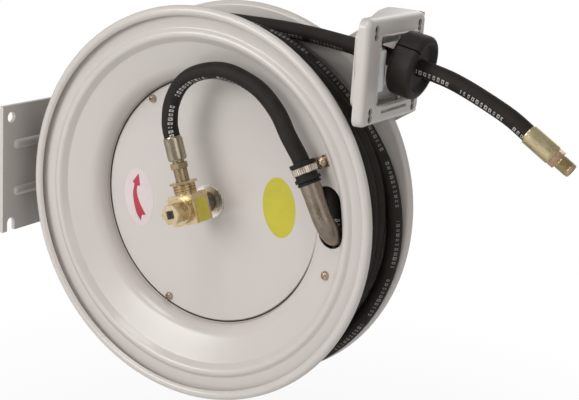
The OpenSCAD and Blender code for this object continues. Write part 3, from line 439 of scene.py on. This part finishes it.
# ------------------------------------------------------------------ mesh helpers
def link(name, me, mat, smooth=True):
    ob = bpy.data.objects.new(name, me)
    bpy.context.scene.collection.objects.link(ob)
    me.materials.append(mat)
    if smooth:
        me.polygons.foreach_set("use_smooth", [True] * len(me.polygons))
    return ob


def sharp(me, angle):
    """Marks edges over this angle in degrees as sharp, so the rest shades smooth."""
    bm = bmesh.new()
    bm.from_mesh(me)
    for e in bm.edges:
        if len(e.link_faces) == 2 and e.calc_face_angle(0) > math.radians(angle):
            e.smooth = False
    bm.to_mesh(me)
    bm.free()


def mesh_of(name, verts, faces):
    me = bpy.data.meshes.new(name)
    me.from_pydata([tuple(v) for v in verts], [], faces)
    me.update()
    return me


def outward(me):
    """Cuts faces of more than four corners into triangles and turns every face outward."""
    bm = bmesh.new()
    bm.from_mesh(me)
    bmesh.ops.triangulate(bm, faces=[f for f in bm.faces if len(f.verts) > 4])
    bmesh.ops.recalc_face_normals(bm, faces=bm.faces)
    bm.to_mesh(me)
    bm.free()


def walls(n, rows, wrap=False):
    """Four-cornered faces that join rows of n points, and the last row to the first if wrap is set."""
    return [(k + j * n, (k + 1) % n + j * n, (k + 1) % n + (j + 1) % rows * n, k + (j + 1) % rows * n)
            for j in range(rows if wrap else rows - 1) for k in range(n)]


def skin(name, rings, mat, body, crease=None, wrap=False):
    """Joins rings of points into one closed skin that rides on a body.

    It ends in a flat face at each end, or with wrap it closes on its first ring. With a crease angle
    it shades smooth between its sharp edges, and without one it stays flat.
    """
    n = len(rings[0])
    faces = walls(n, len(rings), wrap)
    if not wrap:
        faces += [tuple(reversed(range(n))), tuple((len(rings) - 1) * n + k for k in range(n))]
    me = mesh_of(name, [q for ring in rings for q in ring], faces)
    outward(me)
    ob = link(name, me, mat, crease is not None)
    if crease is not None:
        sharp(me, crease)
    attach(ob, body)


def tube_mesh(name, path, n, up, u0=0.0):
    """A tube of the hose's size, with UV x as length in metres and y as the turn from up x tangent."""
    rows = len(path)
    verts, run = [], [u0]
    for i in range(rows):
        along = (path[min(rows - 1, i + 1)] - path[max(0, i - 1)]).normalized()
        side = up.cross(along).normalized()
        over = along.cross(side)
        for k in range(n):
            c, s = polar(HOSE_R * MM, 2 * math.pi * k / n)
            verts.append(path[i] + c * side + s * over)
        if i:
            run.append(run[-1] + (path[i] - path[i - 1]).length)
    faces = walls(n, rows) + [tuple(reversed(range(n))), tuple((rows - 1) * n + k for k in range(n))]
    uvs = [(run[i + di], (k + dk) / n) for i in range(rows - 1) for k in range(n)
           for di, dk in ((0, 0), (0, 1), (1, 1), (1, 0))]
    uvs += [(run[0], 0.25)] * n + [(run[-1], 0.25)] * n
    me = mesh_of(name, verts, faces)
    me.uv_layers.new(name="UVMap").data.foreach_set("uv", [c for uv in uvs for c in uv])
    return me, run[-1]


def catmull(p, n):
    """A smooth curve through the points, n steps to each, with its first and last stretches straight."""
    out = []
    last = len(p) - 1
    for i in range(last):
        a, b, c, d = p[max(0, i - 1)], p[i], p[i + 1], p[min(last, i + 2)]
        for t in (k / n for k in range(n)):
            if i in (0, last - 1):
                out.append(b.lerp(c, t))
            else:
                bend = 2 * a - 5 * b + 4 * c - d + t * (3 * (b - c) + d - a)
                out.append(b + 0.5 * t * (c - a + t * bend))
    out.append(p[last])
    return out


def relax(p):
    """Rounds the small corners where straight ends meet the curve."""
    for _ in range(3):
        p = [p[0]] + [p[i] * 0.5 + (p[i - 1] + p[i + 1]) * 0.25 for i in range(1, len(p) - 1)] + [p[-1]]
    return p


def smooth(t):
    t = max(0.0, min(1.0, t))
    return t * t * (3 - 2 * t)


# ------------------------------------------------------------------ hoses
# the hose's routes, measured from the drum's axis as in the CAD
LEAD_ROUTE = [(40, 32, 192.5), (65, 30, 192), (95, 25, 191), (130, 15, 189.2), (160, 5, 187.5),
              (184.6, 0, 185.52), (201.7, 0, 182.2)]
FREE_ROUTE = [(201.7, 0, 182.2), (218.8, 0, 178.88), (236, 0, 175.53), (249.3, 0, 172.7), (262, 0, 169.4),
              (276.3, 0, 164.4), (292.5, 0, 157.8), (313.8, 0, 148.3), (329, 0, 140.5), (343.7, 0, 131),
              (353.85, 0, 124.58)]
ARCH_ROUTE = [(-22.5, 62.9), (-26.2, 73.2), (-28.9, 80.7), (-30.5, 90), (-29.5, 108), (-21, 128),
              (-6, 142.5), (16, 151), (38, 153), (62, 147), (82, 137), (101, 119), (113.5, 99.5),
              (122.6, 87.2), (129.9, 77.26), (135.6, 66.7), (140.16, 58.25)]

# the turns cross over at this angle and over this arc, and the last one stands this far off
CROSS_AT = 370
CROSS_ARC = 50
LOOSE = 14.5
PRINT_TWIST = 0.23

TO_REAR = Vector((0, 1, 0))
TO_FRONT = Vector((0, -1, 0))


def shifts(a):
    """How many pitches the hose has moved over: each turn lies flat beside the next, then crosses over."""
    full = math.floor(TURNS)
    crossed = sum(smooth((a - CROSS_AT - 360 * k) / CROSS_ARC) for k in range(full))
    start = CROSS_AT + 360 * (full - 1) + CROSS_ARC
    return crossed + (TURNS - full) * max(0.0, (a - start) / (A0 - start))


def slack(a):
    """The last turn lies loose: it stands off the others from the crossover round to the lead."""
    return LOOSE * smooth((a - A1 - 20) / 90) * (1 - smooth((a - 345) / 60))


def wind_at(a):
    x, z = polar(WIND_R + max(LIFT * max(0.0, 1 - (a - A1) / 60), slack(a)), math.radians(a))
    return row_point(DRUM_X + x, WIND_Y1 - PITCH * shifts(a), z)


def route(points):
    return relax(catmull([row_point(DRUM_X + x, y, z) for x, y, z in points], 8))


def hose(me, mat, body, *stands_for):
    ob = link(me.name, me, mat)
    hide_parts(*stands_for)
    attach(ob, body)
    return ob


def outer_hose():
    """The outer turns and the lead as one unbroken mesh, then the free end on from the fairlead."""
    steps = int(96 * TURNS)
    wind = [wind_at(A0 + (A1 - A0) * i / steps) for i in range(steps + 1)]
    wind.insert(0, wind[0] + (wind[0] - wind[1]).normalized() * HOSE_D * MM)
    top = wind[-1].z / MM
    lead = route([(0, WIND_Y1, top), (HOSE_D, WIND_Y1, top)] + LEAD_ROUTE)
    me, length = tube_mesh("hose_winding_and_lead", wind + lead[:-1], 28, TO_REAR)
    cover = hose_cover("hose_cover_print", 0.85 - PRINT_TWIST * (length - 0.1), PRINT_TWIST, 0.36, 0.036)
    hose(me, cover, "frame", "wound_hose", "lead_hose")

    free = route(FREE_ROUTE)
    me, _ = tube_mesh("hose_free_end", [lead[-2]] + free, 36, TO_REAR, length)
    cover = hose_cover("hose_cover_free", 0.79 - PRINT_TWIST * length, PRINT_TWIST, 0.75, 0.040)
    ob = hose(me, cover, "frame", "free_hose")


def swivel_hose():
    """From the swivel up and over to the gooseneck."""
    path = relax(catmull([on_drum(x, y, PORT_Z) for x, y in ARCH_ROUTE], 10))
    me, _ = tube_mesh("swivel_hose", path, 40, TO_FRONT)
    hose(me, hose_cover("hose_cover_arch", 0.34, 0.62, 0.8, 0.044), "drum", "inner_hose")


def layer(r, z0, z1, a0):
    """A layer's centre line: a helix of radius r from z0 to z1 that starts at angle a0."""
    n = int(72 * (z0 - z1) / PITCH)
    return [on_drum(*polar(r, math.radians(a0 - 360 * (z0 - z1) / PITCH * i / n)), z0 + (z1 - z0) * i / n)
            for i in range(n + 1)]


def inner_layers():
    """The two layers under the outer one, which turn with the drum, as one mesh."""
    front = 10.6
    upper = layer(r=170.3, z0=front, z1=-26.8, a0=95)
    lower = layer(r=152.7, z0=front, z1=-21.2, a0=40)
    me, run = tube_mesh("hose_inner_layers", upper, 20, TO_REAR)
    below, _ = tube_mesh("layer_below", lower, 20, TO_REAR, run)
    bm = bmesh.new()
    bm.from_mesh(me)
    bm.from_mesh(below)
    bm.to_mesh(me)
    bm.free()
    bpy.data.meshes.remove(below)
    hose(me, hose_cover("hose_cover_inner", 0.62, below=0.012), "drum", "hose_core")


# ------------------------------------------------------------------ the CAD nodes' materials and edges
# each material, the rounding of its edges in millimetres, and the nodes that wear it
DRESS = [
    (PAINT_ARM, 0.5, ["wall_bracket", "guide_arm"]),
    (PAINT, 0, ["front_flange", "rear_flange", "drum_core", "cover_disc"]),
    (PAINT_ARM, 0.35, ["fairlead_frame", "roller_box"]),
    (PRIMER, 0, ["spring_case"]),
    (ZINC, 0.3, ["arm_bolts", "roller_pins", "spindle_nut", "spindle_washer", "case_rivets", "cover_screws",
                 "hub_rivets", "ratchet_screws", "pawl_pin", "ball_screws"]),
    (SCREW, 0.3, ["hose_clip", "flange_screws"]),
    (BRIGHT, 0.3, ["front_hub"]),
    (DARK, 0.3, ["spindle", "arbor", "rear_hub", "ratchet_wheel", "pawl"]),
    (BLUED, 0, ["power_spring", "pawl_spring"]),
    (BRONZE, 0, ["front_bush", "rear_bush", "thrust_washer"]),
    (BRASS, 0.6, ["swivel_body", "swivel_plug"]),
    (GOLD, 0.4, ["end_ferrule"]),
    (AGED, 0.4, ["inner_ferrule"]),
    (AGED_BRASS, 0.4, ["inner_nut"]),
    (COPPER, 0.4, ["end_fitting"]),
    (BLACK, 0.8, ["ball_upper", "ball_lower"]),
    (CUFF, 0.4, ["o_rings", "hose_cuff"]),
    (NYLON, 0.4, ["roller_front", "roller_rear", "roller_low", "roller_top"]),
    (TUBE, 0, ["gooseneck"]),
    (TAG, 0, ["swivel_tag"]),
]
WIDE_EDGE = 0.6


def dress(ob, mat, edge):
    """A material and, where edge is set, rounded edges. Faces are joined so that curves shade smooth."""
    if not ob.data.materials:
        ob.data.materials.append(mat)
    for slot in ob.material_slots:
        slot.link = "OBJECT"
        slot.material = mat
    weld = ob.modifiers.new("join", "WELD")
    weld.merge_threshold = 2e-6
    if edge:
        bevel = ob.modifiers.new("edge", "BEVEL")
        bevel.width = edge * MM
        bevel.segments = 3 if edge >= WIDE_EDGE else 2
        bevel.limit_method = "ANGLE"
        bevel.angle_limit = math.radians(40)
    split = ob.modifiers.new("crease", "EDGE_SPLIT")
    split.split_angle = math.radians(46 if edge else 32)
    split.use_edge_sharp = False
    even = ob.modifiers.new("even", "WEIGHTED_NORMAL")
    even.weight = 70


# ------------------------------------------------------------------ fastener heads
COVER_SCREW_R = 130.5
COVER_SCREW_A = 8.5
CROSS_ARM = 0.50
CROSS_HALF = 0.15


def axes(d):
    d = d.normalized()
    a = d.orthogonal().normalized()
    return d, a, d.cross(a)


def cross_r(t, arm, half):
    """Radius at angle t of a cross with arms this long and this wide on each side."""
    f = (t + math.pi / 4) % (math.pi / 2) - math.pi / 4
    if abs(math.tan(f)) * arm <= half:
        return arm / math.cos(f)
    return half / abs(math.sin(f))


def head(name, at, way, r, h, sunk, turn):
    """A domed screw head of radius r and height h on point at, its cross recess sunk to height sunk."""
    n = 64
    d, a, b = axes(way)

    def ring(z, radius):
        points = []
        for k in range(n):
            t = 2 * math.pi * k / n
            points.append(at + d * z * MM + (a * math.cos(t) + b * math.sin(t)) * radius(t) * MM)
        return points

    dome = [(r * 0.98, 0.0), (r, 0.18 * h)]
    dome += [(r * math.cos(q), 0.18 * h + 0.82 * h * math.sin(q)) for q in (0.35, 0.7, 1.0)]
    rings = [ring(z, lambda t, edge=edge: edge) for edge, z in dome]
    recess = ((1.0, 0.97 * h), (0.9, 0.86 * h), (0.72, sunk))
    arm, half = r * CROSS_ARM, r * CROSS_HALF
    rings += [ring(z, lambda t, f=f: f * cross_r(t + turn, arm, half)) for f, z in recess]
    skin(name, rings, SCREW, "drum", crease=38)


def cone_point(r, a, h):
    """A point h above the cone at radius r and angle a, and the way out from it."""
    lean = math.radians(CONE_LEAN)
    x, y = polar(1, math.radians(a))
    out = drum_way(-math.sin(lean) * x, -math.sin(lean) * y, math.cos(lean))
    return on_drum(r * x, r * y, CONE_Z + (r - CUP_R) * math.tan(lean)) + out * h * MM, out


def screw_heads():
    """The three screws of the cover disc, and the two on the cone beside it."""
    for k in range(3):
        x, y = polar(COVER_SCREW_R, math.radians(COVER_SCREW_A + 120 * k))
        at = on_drum(x, y, DISC_Z + 0.02)
        head(f"cover_screw_head_{k}", at, TO_FRONT, r=4.6, h=4.0, sunk=2.5, turn=0.5 + k)
    at, way = cone_point(r=167, a=-15, h=0.85)
    head("anchor_screw_head", at, way, r=4.9, h=4.2, sunk=2.9, turn=0.3)
    at, way = cone_point(r=167.3, a=26.9, h=3.5)
    head("clip_screw_head", at, way, r=6.0, h=5.4, sunk=4.0, turn=0.9)


# ------------------------------------------------------------------ the fairlead's window lip and corners
WINDOW_MIDDLE = (WINDOW_Z0 + WINDOW_Z1) / 2
WINDOW_HALF = (WINDOW_Z1 - WINDOW_Z0) / 2
LIP_LOW = 0.5
LIP_HIGH = 4.6
LIP_FADE_Y = -37
LIP_FADE = 16
# the corner slots, behind which dark fills stand in for shade
SLOT_YS = (-50, 50)
SLOT_ZS = (132, 211.7)


def window(inset):
    """The window's outline in (y, z): a rounded rectangle with a point every 3 mm or so."""
    r = WINDOW_ROUND - inset
    y, z0, z1 = WINDOW_Y - inset - r, WINDOW_Z0 + inset + r, WINDOW_Z1 - inset - r
    corners = []
    for cy, cz, a in ((y, z1, 0), (-y, z1, 90), (-y, z0, 180), (y, z0, 270)):
        for k in range(9):
            dy, dz = polar(r, math.radians(a + 90 * k / 8))
            corners.append((cy + dy, cz + dz))
    dense = []
    for i, p in enumerate(corners):
        q = corners[(i + 1) % len(corners)]
        m = max(1, int(math.dist(p, q) / 3))
        dense += [(p[0] + (q[0] - p[0]) * k / m, p[1] + (q[1] - p[1]) * k / m) for k in range(m)]
    return dense


def window_lip():
    """The bead round the window. It stands high round the ball and falls away beside the near roller."""
    outline = window(0.05)

    def ring(inset, x, out):
        narrow = (WINDOW_Y - inset) / WINDOW_Y
        low = (WINDOW_HALF - inset) / WINDOW_HALF
        points = []
        for y, z in outline:
            rise = LIP_LOW + (LIP_HIGH - LIP_LOW) * smooth((y - LIP_FADE_Y) / LIP_FADE)
            height = WINDOW_MIDDLE + (z - WINDOW_MIDDLE) * low
            points.append(row_point(FACE_X + x + out * rise, y * narrow, height))
        return points

    section = ((0, -2.6, 0), (0, 0, 0.8), (0.35, 0, 0.95), (0.9, 0, 1), (1.5, 0, 0.95), (1.9, 0, 0.8),
               (1.9, -2.6, 0))
    skin("window_lip", [ring(*step) for step in section], PAINT_ARM, "frame", crease=50, wrap=True)


def corner_slot_shades():
    """Painted shade: dark fills behind the pan's four corner slots, so the slots read as shaded holes."""
    r, half, n = 4.7, 3.4, 48
    for i, (y, z) in enumerate((y, z) for y in SLOT_YS for z in SLOT_ZS):
        outline = []
        for k in range(n):
            dy, dz = polar(r, 2 * math.pi * k / n)
            outline.append((y + dy, z + dz + math.copysign(half, dz)))
        rings = [[row_point(FACE_X + x, cy, cz) for cy, cz in outline] for x in (-3.6, -2.55)]
        skin(f"corner_slot_shade_{i}", rings, SHADE_FILL, "frame", crease=38)


# ------------------------------------------------------------------ seam, clamp, threads and plug
CLIP_LEAN = -61.64


def cover_seam_shade():
    """Painted shade: a dark ring set into the groove between the cover disc and the cup, where the seam
    lies in shade.
    """
    n = 180
    inner, outer, low = DISC_R + 0.02, 137.5, 10.95
    section = ((inner, low), (outer, low), (outer + 0.1, 12.3), (inner, 12.5))
    rings = [[on_drum(*polar(r, 2 * math.pi * k / n), z) for k in range(n)] for r, z in section]
    skin("cover_seam_shade", rings, SHADE_FILL, "drum", crease=40, wrap=True)


def clip_band_bars():
    """Raised bars across the clip's band, as its punched slots leave them."""
    r, wide, bars, share, lift, slope = 12.93, 5.4, 36, 0.52, 0.45, 0.012
    at = on_drum(*ARCH_ROUTE[-2], PORT_Z)
    d, a, b = axes(drum_way(*polar(1, math.radians(CLIP_LEAN)), 0))
    verts, faces = [], []
    for k in range(bars):
        t0 = math.radians(360 * k / bars)
        t1 = t0 + math.radians(360 / bars * share)
        m = len(verts)
        for t, rr in ((t0, r), (t1, r), (t1 - slope, r + lift), (t0 + slope, r + lift)):
            for s in (-wide / 2, wide / 2):
                verts.append(at + d * s * MM + (a * math.cos(t) + b * math.sin(t)) * rr * MM)
        faces += [tuple(m + i for i in f) for f in ((0, 1, 3, 2), (2, 3, 5, 4), (4, 5, 7, 6), (6, 7, 1, 0),
                                                    (0, 2, 4, 6), (1, 7, 5, 3))]
    me = mesh_of("clip_band_bars", verts, faces)
    outward(me)
    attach(link("clip_band_bars", me, BRIGHT, False), "drum")


def helix(name, at, way, r0, r1, s0, s1, pitch, wide, mat, body, n):
    """A thread's ridge from radius r0 to r1, wound from s0 to s1 along the axis, run out at both ends."""
    d, a, b = axes(way)
    steps = int((s1 - s0) / pitch * n)
    rings = []
    for i in range(steps + 1):
        t = 2 * math.pi * i / n
        s = s0 + pitch * i / n
        full = min(1.0, i / (0.6 * n), (steps - i) / (0.6 * n))
        top = r0 + (r1 - r0) * max(0.02, full)
        out = a * math.cos(t) + b * math.sin(t)
        section = ((-wide / 2, r0), (-wide * 0.09, top), (wide * 0.09, top), (wide / 2, r0))
        rings.append([at + (d * (s + w) + out * r) * MM for w, r in section])
    skin(name, rings, mat, body, crease=38)


def threads():
    """The outlet's thread, and the fine rings turned into the swivel's collar."""
    x, y = polar(1, PORT_LEAN + math.pi / 2)
    helix("male_thread", END, END_WAY, r0=6.95, r1=7.43, s0=40.3, s1=52.6, pitch=1.41, wide=1.25,
          mat=OLIVE, body="frame", n=40)
    collar = on_drum(PORT_X * x, PORT_X * y, PORT_Z)
    helix("collar_rings", collar, drum_way(x, y, 0), r0=11.9, r1=12.55, s0=1.2, s1=10.4, pitch=1.3,
          wide=1.0, mat=BRASS, body="drum", n=60)


def plug_socket():
    """Walls and floor in the plug's square socket: bright zinc walls as a painted highlight, a dark steel
    floor as painted shade.
    """
    floor, mouth, outer, inner = 80.02, 87.7, 4.74, 4.5

    def square(half, z):
        c, s = polar(half, PORT_LEAN)
        return [on_drum(x * c - y * s, x * s + y * c, z) for x, y in ((-1, -1), (1, -1), (1, 1), (-1, 1))]

    # Painted shade: a dark floor at the socket's bottom.
    skin("socket_floor", [square(inner + 0.1, z) for z in (floor, floor + 0.28)], DARK, "drum", crease=38)
    # Painted highlight: bright walls round the socket.
    rings = [square(outer, floor), square(outer, mouth), square(inner, mouth), square(inner, floor)]
    skin("socket_walls", rings, BRIGHT, "drum", wrap=True)


# ------------------------------------------------------------------ labels on the cover disc
LABEL_Z = DISC_Z + 0.01
VINYL_T = 0.15
ARROW_Z = DISC_Z + 0.12
ARROW_LEFT = [(-102.4, 1.0), (-103.9, -7.5), (-103.5, -15.0), (-100.7, -25.8), (-96.7, -34.8),
              (-91.6, -40.8)]
ARROW_RIGHT = [(-84.9, -32.3), (-90.1, -25.9), (-94.0, -19.9), (-97.4, -12.3), (-98.8, -5.1),
               (-98.1, -0.8)]


def plate(name, outline, z0, thick, mat, soft=0.06):
    """A thin label: outline in drum millimetres, its upper edge rounded over."""
    cx = sum(x for x, _ in outline) / len(outline)
    cy = sum(y for _, y in outline) / len(outline)

    def ring(inset, z):
        points = []
        for x, y in outline:
            f = 1 - inset / math.hypot(x - cx, y - cy)
            points.append(on_drum(cx + (x - cx) * f, cy + (y - cy) * f, z))
        return points

    z1 = z0 + thick
    skin(name, [ring(0, z0), ring(0, z1 - soft), ring(soft * 1.5, z1)], mat, "drum")


def oval(cx, cy, w, h, tilt):
    """An oval's outline round (cx, cy), w across and h tall, tilted by this many degrees."""
    n = 96
    c, s = polar(1, math.radians(tilt))
    points = []
    for k in range(n):
        a = 2 * math.pi * k / n
        x, y = w / 2 * math.cos(a), h / 2 * math.sin(a)
        points.append((cx + x * c - y * s, cy + x * s + y * c))
    return points


def curve(points):
    return [(q.x, q.y) for q in catmull([Vector((x, y, 0)) for x, y in points], 6)]


def labels():
    """A plain yellow oval, and a curved arrow on a pale oval that shows which way the drum turns."""
    pale = oval(cx=-95.3, cy=-13.3, w=40, h=66, tilt=9)
    yellow = oval(cx=87.4, cy=9.7, w=40, h=65.5, tilt=9.5)
    plate("label_pale_oval", pale, LABEL_Z, VINYL_T, PALE)
    plate("label_yellow_oval", yellow, LABEL_Z, VINYL_T, YELLOW)
    tip, tail = [(-97.0, 14.0), (-105.0, 3.2)], [(-90.4, -33.9)]
    arrow = tip + curve(ARROW_LEFT) + tail + curve(ARROW_RIGHT) + [(-94.3, 0.1)]
    plate("label_arrow", arrow, ARROW_Z, 0.10, RED, 0.03)


# ------------------------------------------------------------------ stage and light
FLOOR_AT = (0.3, 0.1, -0.42)
FLOOR_HALF = 9
AMBIENT = 0.43
# each lamp's name, place, aim, size in metres and power in watts
LAMPS = [
    ("key", (-0.75, -2.2, 0.8), (0.25, 0, 0), 1.5, 28),
    ("overhead", (0.15, -1.35, 2.2), (0.25, 0, 0), 1.1, 12),
    ("fill", (2.1, -1.2, 0.6), (0.3, 0, 0), 1.4, 4),
    ("back", (0.2, 2.1, 0.8), (0.25, 0, 0), 1.5, 7),
]


def lamp(name, at, target, size, power):
    light = bpy.data.lights.new(name, "AREA")
    light.shape = "DISK"
    light.size = size
    light.energy = power
    ob = bpy.data.objects.new(name, light)
    bpy.context.scene.collection.objects.link(ob)
    ob.location = at
    ob.rotation_euler = (Vector(target) - Vector(at)).to_track_quat("-Z", "Y").to_euler()


def floor_paper():
    """Pale paper that takes the shadow. For the camera it fades to white, away from the object."""
    m = bpy.data.materials.new("floor_paper")
    m.use_nodes = True
    nt = m.node_tree
    nt.nodes.clear()
    co = coords(nt)
    paper = nt.nodes.new("ShaderNodeBsdfDiffuse")
    colour = ramp(nt, noise(nt, co, 3, 3, 0.5), [(0.3, (0.78, 0.78, 0.78)), (0.7, (0.82, 0.82, 0.82))])
    nt.links.new(colour, paper.inputs["Color"])
    white = nt.nodes.new("ShaderNodeEmission")
    white.inputs["Color"].default_value = (1, 1, 1, 1)
    white.inputs["Strength"].default_value = 1.0
    away = node(nt, "ShaderNodeVectorMath", operation="LENGTH")
    nt.links.new(co, away.inputs[0])
    seen = nt.nodes.new("ShaderNodeLightPath").outputs["Is Camera Ray"]
    fade = times(nt, seen, remap(nt, away.outputs["Value"], 0.84, 1.0, 0.2, 0.8))
    out = nt.nodes.new("ShaderNodeOutputMaterial")
    nt.links.new(mix_shaders(nt, fade, paper.outputs[0], white.outputs[0]), out.inputs[0])
    return m


def studio():
    """Soft light from all round, and plain white where the camera sees past the floor."""
    world = bpy.data.worlds.new("studio")
    bpy.context.scene.world = world
    world.use_nodes = True
    nt = world.node_tree
    nt.nodes.clear()
    shades = []
    for colour, strength in (((1, 0.99, 0.98, 1), AMBIENT), ((1, 1, 1, 1), 1.0)):
        shade = nt.nodes.new("ShaderNodeBackground")
        shade.inputs["Color"].default_value = colour
        shade.inputs["Strength"].default_value = strength
        shades.append(shade.outputs[0])
    seen = nt.nodes.new("ShaderNodeLightPath").outputs["Is Camera Ray"]
    out = nt.nodes.new("ShaderNodeOutputWorld")
    nt.links.new(mix_shaders(nt, seen, *shades), out.inputs[0])


def stage():
    h = FLOOR_HALF
    me = mesh_of("floor", [(-h, -h, 0), (h, -h, 0), (h, h, 0), (-h, h, 0)], [(0, 1, 2, 3)])
    ob = link("floor", me, floor_paper(), False)
    ob.location = FLOOR_AT
    studio()
    for settings in LAMPS:
        lamp(*settings)
    bpy.context.scene.view_settings.view_transform = "Standard"


make_camera()
outer_hose()
swivel_hose()
inner_layers()
for material, edge_round, names in DRESS:
    for piece in names:
        dress(NODES[piece], material, edge_round)
screw_heads()
window_lip()
corner_slot_shades()
cover_seam_shade()
clip_band_bars()
threads()
plug_socket()
labels()
stage()
